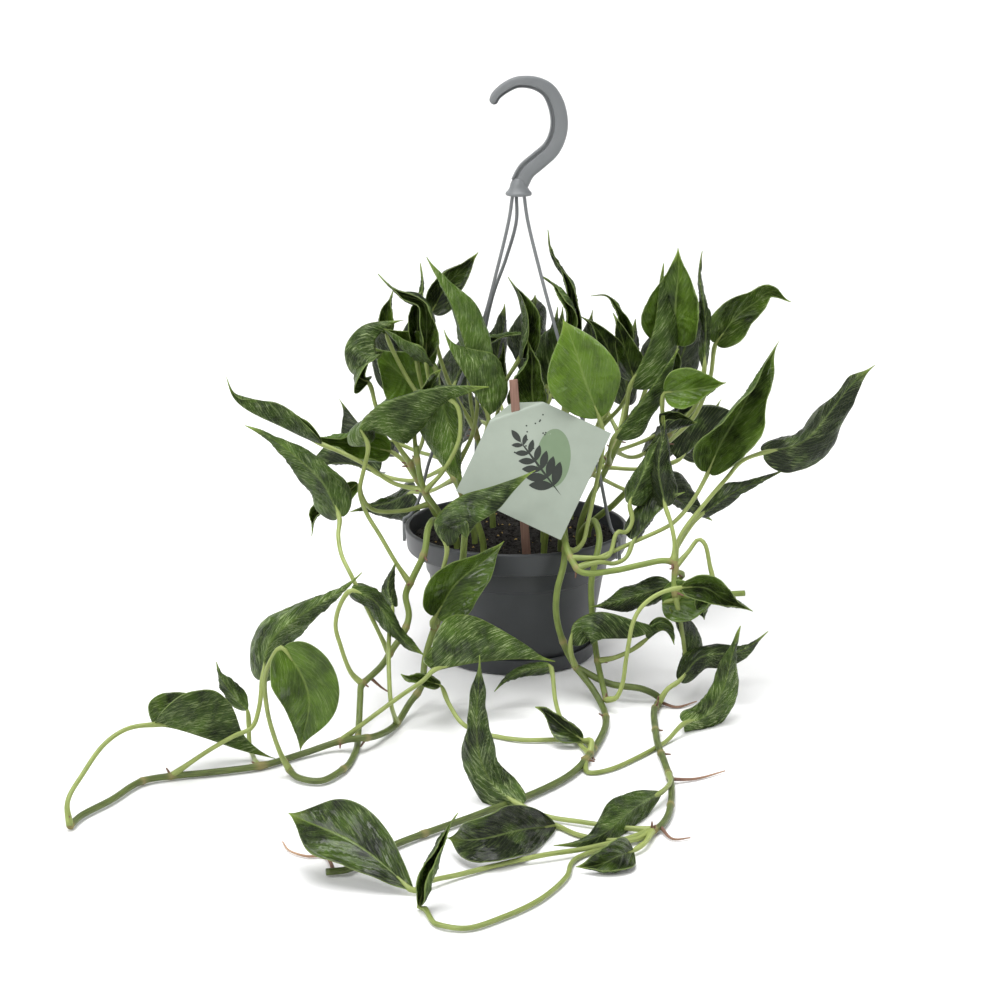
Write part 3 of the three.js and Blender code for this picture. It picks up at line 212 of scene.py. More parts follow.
     "tip": [50, 236, -106], "form": [41, 190, 30, 45], "arch": 4},
    {"skin": "dark", "stalk": [[54, 130, -58], [84, 128, -60], [108, 134, -58]],
     "tip": [160, 160, -56], "form": [46, -130, 32, 45], "arch": 6},
    {"skin": "dark", "stalk": [[66, 144, -71], [70, 162, -96], [72, 172, -104]],
     "tip": [78, 230, -108], "form": [41, 185, 32, 50], "arch": 4},
    {"skin": "dark", "stalk": [[64, 141, -68], [76, 136, -84], [84, 138, -90]],
     "tip": [116, 188, -78], "form": [46, 150, 32, 50], "arch": 4},
    {"skin": "dark", "stalk": [[70, 149, -76], [90, 170, -84], [102, 188, -88]],
     "tip": [122, 246, -84], "form": [39, 170, 32, 50], "arch": 4},
    {"skin": "dark", "stalk": [[50, 125, -54], [78, 112, -66], [94, 112, -70]],
     "tip": [132, 92, -76], "form": [41, 200, 32, 50], "arch": 4}]},
  {"node": "trailing_stem_left", "root": [-22, -44],
   "path": [[-28, 96, 50], [-31, 108, 64], [-33, 99, 78], [-35, 79, 84], [-37, 60, 86], [-45, 38, 88],
           [-56, 15, 98],
    [-62, -5, 106], [-65, -26, 118], [-73, -38, 128], [-83, -54], [-99, -63, 181], [-109, -64, 190],
            [-121, -66, 187],
    [-148, -75.5], [-176, -84], [-211, -89], [-240, -92], [-259, -95.5], [-282, -110], [-303, -121.5],
            [-311, -129]],
   "leaves": [
    {"stalk": [[-55, 18, 97], [-53, 34, 100], [-50, 55, 101], [-47, 74, 101]],
     "bend": [[-56, 92, 101], [-42, 110, 100], [-17, 119, 100]], "tip": [13, 127, 100],
     "form": [51, 100, 40, 45]},
    {"skin": "bright", "stalk": [[-56, 16, 98], [-57, 20, 102], [-55, 24, 101]],
     "bend": [[-41, 48, 99]], "tip": [-8, 78, 95], "form": [39, 15, 16, 30]},
    {"skin": "streaked",
     "stalk": [[-121, -66, 187], [-105, -53, 184], [-91, -42, 176], [-78, -32, 168], [-64, -22, 160],
             [-56, -14, 154]],
     "bend": [[-30, -11, 140], [0, -9, 130]], "tip": [27, -8, 124], "form": [61, -130, 50, 35]},
    {"skin": "streaked",
     "stalk": [[-303, -121, 310], [-312, -112, 304], [-300, -90, 284], [-284, -68, 268], [-268, -57, 258],
             [-250, -54, 250]],
     "bend": [[-240, -57, 241], [-217, -67, 224], [-190, -75, 209]], "tip": [-166, -79, 205],
     "form": [54, -102, 50, 20]},
    {"skin": "streaked",
     "stalk": [[-240, -92, 230], [-214, -74, 228], [-194, -62, 226], [-182, -56, 225], [-177, -43, 222],
             [-174, -22, 218]],
     "bend": [[-168, 4, 212], [-147, 25, 204]], "tip": [-104, 56, 192], "form": [44, 180, 38, 50]},
    {"stalk": [[-182, -84, 214], [-184, -69, 184], [-185, -43, 176]],
     "bend": [[-193, -34, 176], [-200, -22, 174]], "tip": [-205, -8, 170], "peak": 0.8,
     "form": [21, 180, 30, 60]},
    {"stalk": [[-84, -54], [-86, -38, 172], [-87, -18, 152], [-87, 2, 134], [-86, 18, 118], [-84, 32, 102]],
     "bend": [[-87, 46, 94]], "tip": [-81, 63, 88], "form": [21, 180, 35, 60]}]},
  {"node": "trailing_stem_bent", "root": [-44, -24],
   "rootlets": [[[-100, -20, 124], [-92, -27, 121], [-86, -31, 119]]],
   "path": [[-54, 92, 36], [-58, 90, 54], [-60, 84, 66], [-62, 70, 74], [-70, 52, 78], [-75, 40, 82],
           [-73, 25, 90], [-77, 12, 98],
    [-83, 3, 106], [-92, -11, 116], [-102, -21, 126], [-106, -25, 131], [-107, -34, 142], [-108, -50, 158],
    [-109, -62, 173], [-110.5, -75, 192], [-120, -87], [-136, -95.5], [-151, -93], [-158, -86, 226]],
   "leaves": [
    {"skin": "streaked",
     "stalk": [[-72, 48, 79], [-81, 62, 76], [-92, 82, 68], [-101, 98, 60], [-105, 112, 60],
             [-102, 128, 60], [-99, 144, 60]],
     "bend": [[-105, 156, 61], [-94, 173, 62], [-68, 182, 62]], "tip": [-18, 184, 60],
     "form": [60, 140, 40, 40]},
    {"stalk": [[-106, -24, 130], [-113, -16, 132], [-120, 4, 132], [-123, 18, 132], [-119, 34, 133],
             [-112, 43, 134]],
     "bend": [[-98, 36, 134], [-83, 17, 136]], "tip": [-62, -4, 136], "form": [32, 180, 40, 50]},
    {"stalk": [[-118, 36, 133], [-111, 52, 126], [-118, 68, 112], [-120, 82, 98], [-119, 94, 88]],
     "bend": [[-130, 120, 80], [-150, 138, 72]], "tip": [-181, 158, 64], "form": [38, 180, 32, 45]},
    {"skin": "bright",
     "stalk": [[-156, -88, 228], [-162, -77, 230], [-167, -62, 232], [-171, -44, 236], [-172, -20, 240],
             [-167, -6, 242], [-160, 2, 243]],
     "bend": [[-150, -12, 243], [-143, -36, 242]], "tip": [-149, -74, 240], "form": [39, -4, 12, 20],
     "arch": 3}]},
  {"node": "trailing_stem_centre", "root": [29, -40],
   "rootlets": [[[-128, -163], [-134, -152], [-146, -152], [-158, -148], [-163, -141]]],
   "path": [[31, 96, 44], [32, 88, 54], [33, 76, 66], [32, 61, 78], [28, 44, 82], [27, 30, 83],
           [29, 16, 84], [35, -1, 86],
    [41, -12, 92], [52, -27, 104], [60, -42], [62, -52], [60, -60], [53, -73], [43, -86], [33, -94],
            [12, -105], [-8, -113],
    [-30, -122], [-51, -130], [-72, -138], [-86, -144], [-104, -154], [-118, -162], [-133, -164]],
   "leaves": [
    {"skin": "bright",
     "stalk": [[33, 72, 69], [39, 71, 70], [45, 77, 70], [48, 90, 66], [52, 110, 60], [56, 132, 54],
             [58, 150, 49], [55, 163, 46]],
     "tip": [30, 230, 40], "peak": 0.85, "form": [48, 0, 10, 20], "arch": 4},
    {"stalk": [[41, -12, 92], [38, -4, 96], [37, 4, 97]],
     "bend": [[40, 21, 95], [56, 30, 97], [82, 24, 97]], "tip": [107, 14, 96], "form": [39, 110, 40, 45]},
    {"stalk": [[50, -75, 200], [52, -66, 190], [46, -65, 182]],
     "bend": [[30, -53, 172]], "tip": [13, -41, 164], "form": [18, 0, 30, 50]},
    {"skin": "streaked",
     "stalk": [[47, -81, 212], [50, -92, 226], [56, -93, 226], [67, -89, 220], [86, -81, 200],
             [104, -66, 176], [116, -53, 160]],
     "bend": [[131, -47, 152], [142, -28, 145], [148, -4, 141]], "tip": [153, 18, 138],
     "form": [32, 180, 32, 42]},
    {"stalk": [[50, -75, 200], [44, -68, 182], [32, -52, 158], [27, -36, 136], [25, -18, 116],
             [23, -11, 108]],
     "bend": [[4, -15, 108]], "tip": [-15, -30, 114], "form": [18, 180, 40, 50]},
    {"stalk": [[53, -73], [46, -66], [30, -65], [3, -65], [-20, -61], [-36, -54, 166], [-46, -39, 152],
             [-52, -25, 140]],
     "tip": [-79, -17, 136], "form": [16, 0, 30, 60]}]},
  {"node": "trailing_stem_centre",
   "rootlets": [[[108, -96], [124, -94], [145, -88]], [[98, -131], [110, -139], [122, -138]], [[97, -38],
           [110, -41], [124, -37]]],
   "path": [[41, -12, 92], [64, -24, 100], [87, -28, 104], [98, -34], [95, -44], [96, -56], [98, -68],
           [103, -82],
    [107.5, -96], [108, -110], [106, -121], [101, -129], [95, -133]],
   "leaves": [
    {"stalk": [[97, -36, 112], [104, -28, 112], [112, -22, 110]],
     "bend": [[126, -6, 107], [150, 0, 103]], "tip": [172, 14, 98], "form": [30, 180, 38, 45]},
    {"stalk": [[104, -86, 232], [107, -97, 252], [101, -104, 270]],
     "bend": [[82, -118, 308], [57, -134, 332]], "tip": [26, -144, 337], "peak": 0.85,
     "form": [23, 180, 18, 30]},
    {"skin": "streaked",
     "stalk": [[95, -133], [80, -131, 312], [45, -126, 302], [22, -122, 294], [4, -114, 284]],
     "bend": [[-13, -101, 276], [-24, -80, 272], [-28, -48, 262]], "tip": [-25, -3, 250],
     "form": [34, 180, 30, 42]},
    {"stalk": [[95, -133], [85, -139, 326], [67, -142, 332], [45, -147, 342], [20, -151, 350],
             [-10, -158, 358], [-40, -166, 372], [-60, -171, 384], [-72, -178, 392]],
     "bend": [[-112, -145, 368]], "tip": [-159, -119, 342], "peak": 1.15, "form": [39, 20, 12, 20]},
    {"stalk": [[45, -147, 343], [42, -155, 350], [36, -167], [27, -177], [14, -187], [-8, -198],
             [-35, -207], [-55, -204], [-64, -197, 412], [-68, -190, 410]],
     "bend": [[-63, -168, 402], [-53, -144, 392]], "tip": [-40, -119, 378], "form": [28, 0, 58, 50]},
    {"stalk": [[95, -133], [70, -140, 326], [44, -136, 318], [28, -129, 306]],
     "bend": [[-4, -134, 338], [-25, -137, 350]], "tip": [-49, -138, 332], "peak": 1.1,
     "form": [32, 0, 15, 25]},
    {"stalk": [[95, -134], [90, -142, 334], [82, -148, 342]],
     "bend": [[62, -156, 360]], "tip": [42, -160, 364], "peak": 0.9, "form": [23, 0, 20, 40]}]},
  {"node": "trailing_stem_centre", "root": [42, -26],
   "path": [[52, 92, 40], [56, 80, 56], [54, 66, 68], [51, 50, 74], [51, 37, 76], [53, 12, 80],
           [55.6, -7, 88], [58.5, -21, 100], [62, -36, 116]],
   "leaves": [
    {"stalk": [[62, -36, 116], [69, -34, 122], [73, -24, 122], [75, -8, 122], [77, 6, 122], [79, 18, 121],
             [83, 28, 119], [90, 36, 117], [100, 42, 115], [112, 45, 112]],
     "bend": [[127, 45, 110], [142, 36, 107]], "tip": [161, 28, 104], "form": [28, 0, 35, 50]},
    {"stalk": [[56, -8, 88], [68, -5, 90], [80, 1, 92], [90, 9, 94]],
     "tip": [108, 4, 96], "form": [16, -60, 40, 60], "arch": 8}]},
  {"node": "trailing_stem_right", "root": [18, -47],
   "path": [[24, 92, 60], [31, 82, 68], [36, 68, 84], [44, 56, 93], [66, 57, 90], [84, 61, 86],
           [100, 64, 84], [107, 62, 84], [107, 50, 88],
    [108, 38, 90]],
   "leaves": [
    {"stalk": [[106, 63, 84], [107, 74, 82], [104, 90, 76], [100, 102, 70]],
     "bend": [[95, 132, 62]], "tip": [98, 165, 54], "form": [31, 175, 35, 50]},
    {"stalk": [[107, 62, 84], [110, 80, 74], [128, 106, 60], [141, 122, 52], [150, 133, 48],
             [164, 139, 44]],
     "bend": [[188, 147, 42], [209, 168, 38]], "tip": [237, 199, 36], "form": [42, 166, 32, 40]},
    {"stalk": [[105, 63, 84], [110, 76, 60], [120, 92, 44], [124, 96, 40]],
     "bend": [[150, 114, 35]], "tip": [180, 128, 30], "form": [21, 180, 35, 55]},
    {"stalk": [[40, 60, 94], [60, 68, 84], [79, 77, 74], [100, 87, 66], [106, 91, 63], [117, 104, 56],
             [128, 125, 46]],
     "bend": [[137, 147, 42], [154, 177, 36]], "tip": [173, 215, 30], "form": [54, -8, 38, 45],
     "twist": 60},
    {"stalk": [[40, 60, 94], [56, 63, 92], [66, 62, 88], [74, 66, 84], [79, 78, 76]],
     "tip": [113, 112, 62], "form": [28, 212, 35, 45], "arch": 4},
    {"stalk": [[37, 66, 86], [50, 66, 89], [62, 67, 86], [68, 84, 78], [74, 84, 74], [78, 92, 70],
             [76, 104, 66]],
     "tip": [98, 154, 48], "form": [34, 165, 35, 45], "arch": -3},
    {"stalk": [[107, 56, 86], [113, 54, 80], [105, 47, 78]],
     "bend": [[82, 39, 84]], "tip": [50, 31, 90], "form": [30, 180, 32, 45]},
    {"stalk": [[108, 60, 85], [116, 70, 78], [123, 79, 74], [127, 76, 76], [131, 60, 80], [134, 46, 84]],
     "tip": [128, 22, 84], "form": [21, 20, 40, 50], "arch": 3},
    {"skin": "bright", "stalk": [[108, 42, 90], [110, 38, 88], [99, 34, 84]],
     "tip": [138, 36, 84], "form": [30, 0, 14, 30], "arch": 3},
    {"stalk": [[108, 40, 90], [112, 20, 90], [115, 0, 90], [117, -19, 91]],
     "tip": [104, 31, 92], "form": [34, 150, 50, 40], "arch": 4}]},
  {"node": "trailing_stem_right", "path": [[107, 42, 89], [125, 37, 84], [142, 40, 80], [155, 41, 78]],
   "leaves": []},
]


def place(point, lift=0.0):
    across, up = point[0], point[1]
    share = point[2] / -EYE.y if len(point) > 2 else (lift - up) / (EYE.z - up)
    return Vector((across, 0, up)).lerp(EYE, share)


class Path:
    """A smooth line through given points, measured along its length."""

    def __init__(self, points, cuts=24):
        ends = [points[0] * 2 - points[1], *points, points[-1] * 2 - points[-2]]
        self.line = []
        for i in range(len(points) - 1):
            a, b, c, d = ends[i : i + 4]
            self.line += [self.between(a, b, c, d, k / cuts) for k in range(cuts)]
        self.line.append(points[-1].copy())
        self.reach = [0.0]
        for a, b in zip(self.line, self.line[1:]):
            self.reach.append(self.reach[-1] + (b - a).length)
        self.length = self.reach[-1]

    @staticmethod
    def between(a, b, c, d, t):
        gaps = [max((q - p).length ** 0.5, 1e-4) for p, q in ((a, b), (b, c), (c, d))]
        if gaps[0] < 1e-3:
            gaps[0] = gaps[1]
        if gaps[2] < 1e-3:
            gaps[2] = gaps[1]
        start = ((b - a) / gaps[0] - (c - a) / (gaps[0] + gaps[1]) + (c - b) / gaps[1]) * gaps[1]
        end = ((c - b) / gaps[1] - (d - b) / (gaps[1] + gaps[2]) + (d - c) / gaps[2]) * gaps[1]
        return (
            b * (2 * t**3 - 3 * t**2 + 1)
            + start * (t**3 - 2 * t**2 + t)
            + c * (3 * t**2 - 2 * t**3)
            + end * (t**3 - t**2)
        )

    def at(self, share):
        goal = min(max(share, 0.0), 1.0) * self.length
        low, high = 0, len(self.reach) - 1
        while high - low > 1:
            middle = (low + high) // 2
            if self.reach[middle] <= goal:
                low = middle
            else:
                high = middle
        span = self.reach[high] - self.reach[low]
        part = (goal - self.reach[low]) / span if span > 0 else 0
        return self.line[low].lerp(self.line[high], part)

    def nearest(self, point):
        best = min(range(len(self.line)), key=lambda i: (self.line[i] - point).length)
        return self.line[best].copy(), self.reach[best]


# The order of the plant's materials on its meshes, and of the card's.
STEM, STALK, UPPER, LOWER, BARK = range(5)
PAPER, SOFT_INK, DARK_PRINT = range(3)


class Mesh:
    """Vertices, faces and their finish, gathered before they become one piece."""

    def __init__(self):
        self.verts = []
        self.faces = []
        self.finish = []
        self.values = {name: [] for name in PAINTED}

    def point(self, where, **values):
        self.verts.append(where * MM)
        for name, store in self.values.items():
            store.append(values.get(name, 0.0))
        return len(self.verts) - 1

    def face(self, corners, finish=0):
        self.faces.append(corners)
        self.finish.append(finish)

    def ring(self, first, second, finish=0):
        """Joins two rings of points. Either may be a single point."""
        count = max(len(first), len(second))
        for k in range(count):
            after = (k + 1) % count
            near = (first[k % len(first)], first[after % len(first)])
            far = (second[after % len(second)], second[k % len(second)])
            self.face(tuple(dict.fromkeys(near + far)), finish)

    def loft(self, rings, finish=0):
        """Joins each ring to the next, and closes both ends."""
        for first, second in zip(rings, rings[1:]):
            self.ring(first, second, finish)
        self.face(tuple(reversed(rings[0])), finish)
        self.face(tuple(rings[-1]), finish)

    def build(self, name, materials, smooth_angle=None):
        data = bpy.data.meshes.new(name)
        data.from_pydata(self.verts, [], self.faces)
        for material in materials:
            data.materials.append(material)
        data.polygons.foreach_set("material_index", self.finish)
        data.polygons.foreach_set("use_smooth", [True] * len(self.faces))
        for key, store in self.values.items():
            if any(store):
                data.attributes.new(key, "FLOAT", "POINT").data.foreach_set("value", store)
        data.update()
        piece = bpy.data.objects.new(name, data)
        bpy.context.scene.collection.objects.link(piece)
        if smooth_angle:
            bpy.context.view_layer.objects.active = piece
            with bpy.context.temp_override(object=piece, selected_editable_objects=[piece]):
                bpy.ops.object.shade_smooth_by_angle(angle=math.radians(smooth_angle))
        return piece


def fit(piece, slot, *nodes):
    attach(piece, "root")
    if nodes:
        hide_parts(*nodes)
    return piece


def linear(code):
    """An sRGB hex colour as linear red, green, blue and alpha."""
    parts = [int(code[i : i + 2], 16) / 255 for i in (1, 3, 5)]
    return [c / 12.92 if c <= 0.04045 else ((c + 0.055) / 1.055) ** 2.4 for c in parts] + [1.0]


def node(tree, kind, inputs=None, **settings):
    """Adds a shader node with its settings, and sets or links its inputs."""
    made = tree.nodes.new("ShaderNode" + kind)
    for name, value in settings.items():
        setattr(made, name, value)
    for key, value in (inputs or {}).items():
        if isinstance(value, bpy.types.NodeSocket):
            tree.links.new(value, made.inputs[key])
        else:
            made.inputs[key].default_value = value
    return made


def start_material(name, roughness, ior, **sockets):
    material = bpy.data.materials.new(name)
    material.use_nodes = True
    tree = material.node_tree
    tree.nodes.clear()
    surface = node(tree, "BsdfPrincipled", {"Roughness": roughness, "IOR": ior, **sockets})
    node(tree, "OutputMaterial", {"Surface": surface.outputs[0]})
    return material, tree, surface


def object_space(tree):
    return node(tree, "TexCoord").outputs["Object"]


def bump_into(tree, surface, height, distance, strength=1.0):
    made = node(tree, "Bump", {"Height": height, "Distance": distance, "Strength": strength})
    tree.links.new(made.outputs[0], surface.inputs["Normal"])


def shade_between(tree, surface, pattern, dark, light):
    made = node(tree, "Mix", {0: pattern, 6: linear(dark), 7: linear(light)}, data_type="RGBA")
    tree.links.new(made.outputs[2], surface.inputs["Base Color"])


def polypropylene(name, dark, light, roughness):
    """Injection-moulded polypropylene: satin, with a fine moulded grain and a faint cloudy bloom."""
    material, tree, surface = start_material(name, roughness, 1.49)
    space = object_space(tree)
    # The grain is 0.6 mm, coarser than the real 0.2 mm so that it shows.
    grain = node(tree, "TexNoise", {"Vector": space, "Scale": 1 / (0.6 * MM), "Detail": 2.0})
    bloom = node(tree, "TexNoise", {"Vector": space, "Scale": 1 / (28 * MM), "Detail": 5.0})
    shade_between(tree, surface, bloom.outputs[0], dark, light)
    bump_into(tree, surface, grain.outputs[0], 0.03 * MM)
    return material


def moist_peat():
    """Moist peat compost: nearly black, crumbly and dull, and browner in patches."""
    material, tree, surface = start_material("moist_peat_compost", 0.92, 1.4)
    space = object_space(tree)
    # Crumbs of about 1.5 mm, and patches of about 12 mm.
    crumbs = node(tree, "TexVoronoi", {"Vector": space, "Scale": 1 / (1.5 * MM)})
    patches = node(tree, "TexNoise", {"Vector": space, "Scale": 1 / (12 * MM), "Detail": 6.0})
    shade_between(tree, surface, patches.outputs[0], "#080706", "#1d1812")
    bump_into(tree, surface, crumbs.outputs["Distance"], 0.8 * MM)
    return material


def bark_chip():
    """Dry pine bark chips and fibres: pale straw to brown, matt."""
    material, tree, surface = start_material("dry_bark_chip", 0.85, 1.45)
    # Fibres 0.8 mm wide.
    fibre = node(tree, "TexNoise", {"Vector": object_space(tree), "Scale": 1 / (0.8 * MM), "Detail": 3.0})
    shade_between(tree, surface, fibre.outputs[0], "#5a4526", "#b59a5c")
    bump_into(tree, surface, fibre.outputs[0], 0.2 * MM)
    return material


def stained_birch():
    """A stained birch stake: dull reddish brown, with open grain that runs up its length."""
    material, tree, surface = start_material("stained_birch", 0.72, 1.5)
    # Grain lines 0.9 mm apart, drawn out 30 times along the length.
    along = node(tree, "Mapping", {"Vector": object_space(tree), "Scale": (1.0, 1.0, 1 / 30)})
    grain = node(tree, "TexNoise", {"Vector": along.outputs[0], "Scale": 1 / (0.9 * MM), "Detail": 4.0})
    shade_between(tree, surface, grain.outputs[0], "#5a4136", "#a07c6c")
    bump_into(tree, surface, grain.outputs[0], 0.15 * MM)
    return material


def coated_board(name, dark, light):
    """Printed, lightly coated card: soft sheen, with the faint tooth and clouding of paper."""
    material, tree, surface = start_material(name, 0.5, 1.5)
    space = object_space(tree)
    # Paper tooth of 0.5 mm, and ink clouding of 9 mm.
    tooth = node(tree, "TexNoise", {"Vector": space, "Scale": 1 / (0.5 * MM), "Detail": 2.0})
    cloud = node(tree, "TexNoise", {"Vector": space, "Scale": 1 / (9 * MM), "Detail": 3.0})
    shade_between(tree, surface, cloud.outputs[0], dark, light)
    bump_into(tree, surface, tooth.outputs[0], 0.02 * MM)
    return material


def leaf_skin(name, deep, bright, pale, fleck_from, spine_strength, roughness, sheen_coat):
    """Living leaf skin: waxy green, with pale streaks that run along the side veins, a slightly paler
    midrib and side veins, a thin light margin and a yellower tip."""
    wax = {"Specular IOR Level": 0.18, "Coat Weight": sheen_coat, "Coat Roughness": 0.18}
    material, tree, surface = start_material(name, roughness, 1.42, **wax)
    vein, run, rim, along, tone, milk = (
        node(tree, "Attribute", attribute_name=key).outputs["Fac"] for key in PAINTED
    )
    # One unit of vein is the gap of 4.2 mm between side veins. Streaks are 1.3 mm wide and 5 mm long.
    across = node(tree, "Math", {0: vein, 1: 3.3}, operation="MULTIPLY")
    onward = node(tree, "Math", {0: run, 1: 1 / 5}, operation="MULTIPLY")
    # Leaves of another tone have other streaks.
    apart = node(tree, "Math", {0: tone, 1: 57.0}, operation="MULTIPLY")
    flow = node(tree, "CombineXYZ", {0: across.outputs[0], 1: onward.outputs[0], 2: apart.outputs[0]})
    lines = {"Vector": flow.outputs[0], "Scale": 1.0, "Detail": 5.0, "Roughness": 0.7}
    streaks = node(tree, "TexNoise", lines)
    # Lighter and darker clouds of about 14 mm, moved lighter or darker by each leaf's tone. On the dark skin
    # that tone is painted shade, and on the bright skin it is partly painted light.
    drift = node(tree, "TexNoise", {"Vector": object_space(tree), "Scale": 1 / (14 * MM), "Detail": 4.0})
    clouds = node(tree, "Math", {0: drift.outputs[0], 1: tone}, operation="ADD")
    sum_up = {0: streaks.outputs[0], 1: 0.5, 2: clouds.outputs[0]}
    lit = node(tree, "Math", sum_up, operation="MULTIPLY_ADD")
    shade = node(tree, "MapRange", {"Value": lit.outputs[0], "From Min": 0.62, "From Max": 1.16})
    green = node(tree, "Mix", {0: shade.outputs[0], 6: linear(deep), 7: linear(bright)}, data_type="RGBA")
    # The pale streaks show where the streak pattern is high, most of all in the lighter clouds.
    high = {"Value": streaks.outputs[0], "From Min": fleck_from, "From Max": fleck_from + 0.14}
    fleck = node(tree, "MapRange", high)
    where = {"Value": drift.outputs[0], "From Min": 0.38, "From Max": 0.6, "To Min": 0.25, "To Max": 1.0}
    patch = node(tree, "MapRange", where)
    patched = node(tree, "Math", {0: fleck.outputs[0], 1: patch.outputs[0]}, operation="MULTIPLY")
    milky = node(tree, "Math", {0: patched.outputs[0], 1: milk}, operation="MULTIPLY")
    over = {0: milky.outputs[0], 6: green.outputs[2], 7: linear(pale)}
    colour = node(tree, "Mix", over, data_type="RGBA").outputs[2]
    fold = node(tree, "Math", {0: vein, 1: 0.5}, operation="PINGPONG")
    # Side veins, midrib, margin and tip: the value each follows, where it starts and where it ends,
    # how strongly it covers at each, and its colour.
    layers = (
        (fold.outputs[0], 0.0, 0.1, 0.22, 0.0, "#77894a"),
        (rim, 0.01, 0.05, spine_strength, 0.0, "#80954a"),
        (rim, 0.965, 1.0, 0.0, 0.5, "#8a9d58"),
        (along, 0.84, 1.0, 0.0, 0.75, "#8aa046"),
    )
    covers = []
    for value, start, end, first, last, code in layers:
        levels = {"Value": value, "From Min": start, "From Max": end, "To Min": first, "To Max": last}
        covers.append(node(tree, "MapRange", levels).outputs[0])
        over = {0: covers[-1], 6: colour, 7: linear(code)}
        colour = node(tree, "Mix", over, data_type="RGBA").outputs[2]
    tree.links.new(colour, surface.inputs["Base Color"])
    ridge = node(tree, "Math", {0: streaks.outputs[0], 1: covers[0]}, operation="SUBTRACT")
    bump_into(tree, surface, ridge.outputs[0], 0.9 * MM, 1.0)
    return material


def stem_skin(name, green, ripe, node_colour, roughness):
    """Green stem skin: smooth and waxy, finely lined along its length, and browner at its nodes."""
    material, tree, surface = start_material(name, roughness, 1.42)
    _, turned, rim, along, tone, _ = (
        node(tree, "Attribute", attribute_name=key).outputs["Fac"] for key in PAINTED
    )
    # Fine lines about 0.9 mm apart round the stem, and blotches about 9 mm long.
    slow = node(tree, "Math", {0: along, 1: 1 / 14}, operation="MULTIPLY")
    flow = node(tree, "CombineXYZ", {0: slow.outputs[0], 1: turned, 2: tone})
    lines = node(tree, "TexNoise", {"Vector": flow.outputs[0], "Scale": 1.6, "Detail": 5.0})
    lit = node(tree, "Math", {0: lines.outputs[0], 1: tone}, operation="ADD")
    body = node(tree, "Mix", {0: lit.outputs[0], 6: linear(green), 7: linear(ripe)}, data_type="RGBA")
    joint = node(tree, "Mix", {0: rim, 6: body.outputs[2], 7: linear(node_colour)}, data_type="RGBA")
    tree.links.new(joint.outputs[2], surface.inputs["Base Color"])
    bump_into(tree, surface, lines.outputs[0], 0.25 * MM)
    return material


def root_bark():
    """Aerial root: dry, reddish brown and lightly wrinkled, with a paler tip."""
    material, tree, surface = start_material("aerial_root_bark", 0.8, 1.42)
    along = node(tree, "Attribute", attribute_name="along").outputs["Fac"]
    # Wrinkles 1.2 mm apart.
    wrinkle = node(tree, "TexNoise", {"Vector": object_space(tree), "Scale": 1 / (1.2 * MM), "Detail": 4.0})
    body = {0: wrinkle.outputs[0], 6: linear("#4a3029"), 7: linear("#7d5c4e")}
    brown = node(tree, "Mix", body, data_type="RGBA")
    # A root is paler towards its tip, some 40 mm away.
    far = node(tree, "Math", {0: along, 1: 1 / 40}, operation="MULTIPLY").outputs[0]
    tip = node(tree, "Mix", {0: far, 6: brown.outputs[2], 7: linear("#a98a70")}, data_type="RGBA")
    tree.links.new(tip.outputs[2], surface.inputs["Base Color"])
    bump_into(tree, surface, wrinkle.outputs[0], 0.2 * MM)
    return material


ANTHRACITE = polypropylene("anthracite_polypropylene", "#2c2e30", "#3a3d40", 0.42)
GREY_PLASTIC = polypropylene("grey_polypropylene", "#65686a", "#777a7b", 0.45)
PEAT = moist_peat()
CHIPS = bark_chip()
BIRCH = stained_birch()
SAGE_CARD = coated_board("sage_printed_card", "#8d978a", "#98a195")
GREEN_INK = coated_board("green_ink_on_card", "#677b5e", "#73866a")
DARK_INK = coated_board("dark_ink_on_card", "#1a201b", "#262c26")
UPPER_FACE = leaf_skin("glossy_upper_leaf_skin", "#101b05", "#58771e", "#a6b47c", 0.54, 0.55, 0.28, 0.35)
LOWER_FACE = leaf_skin("satin_lower_leaf_skin", "#131f08", "#506d22", "#a8b682", 0.52, 0.25, 0.36, 0.15)
STEM_SKIN = stem_skin("ripe_stem_skin", "#343d22", "#7f9145", "#857d4d", 0.48)
STALK_SKIN = stem_skin("young_stalk_skin", "#5b6b2d", "#a0ac64", "#a9b06f", 0.4)
ROOT_BARK = root_bark()


def carried(direction, side):
    """The side direction kept square to a line's direction as it bends."""
    flat = side - direction * side.dot(direction)
    if flat.length < 1e-5:
        flat = direction.orthogonal()
    return flat.normalized()


JOINT_REACH = 1.9
JOINT_SWELL = 0.24


def grow_tube(mesh, path, radius, sides, step, finish, joints=(), tone=0.0, low_darkening=0.0):
    """A round stem along a path. Its radius is given by the distance along it, it swells at its joints,
    and its last argument makes it darker the lower it lies near the floor, below 60 mm, than high up."""
    count = max(3, math.ceil(path.length / step))
    side = Vector((0.3, 0.2, 1.0))
    rings = []
    for i in range(count + 1):
        share = i / count
        reach = share * path.length
        centre = path.at(share)
        centre.z = max(centre.z, radius(reach) + LEAST_HEIGHT)
        direction = (path.at(share + 0.004) - path.at(share - 0.004)).normalized()
        side = carried(direction, side)
        other = direction.cross(side)
        near = max((math.exp(-(((reach - joint) / JOINT_REACH) ** 2)) for joint in joints), default=0.0)
        size = radius(reach) * (1 + JOINT_SWELL * near)
        ring = []
        for k in range(sides):
            angle = 2 * math.pi * k / sides
            out = side * math.cos(angle) + other * math.sin(angle)
            spot = centre + out * size
            spot.z = max(spot.z, LEAST_HEIGHT)
            # Below 60 mm up, the colour is darker the lower the stem lies.
            lit = tone + low_darkening * (min(1.0, centre.z / 60) - 0.55)
            ring.append(mesh.point(spot, along=reach, rim=near, tone=lit, run=2.5 * math.sin(angle)))
        rings.append(ring)
    mesh.loft(rings, finish)


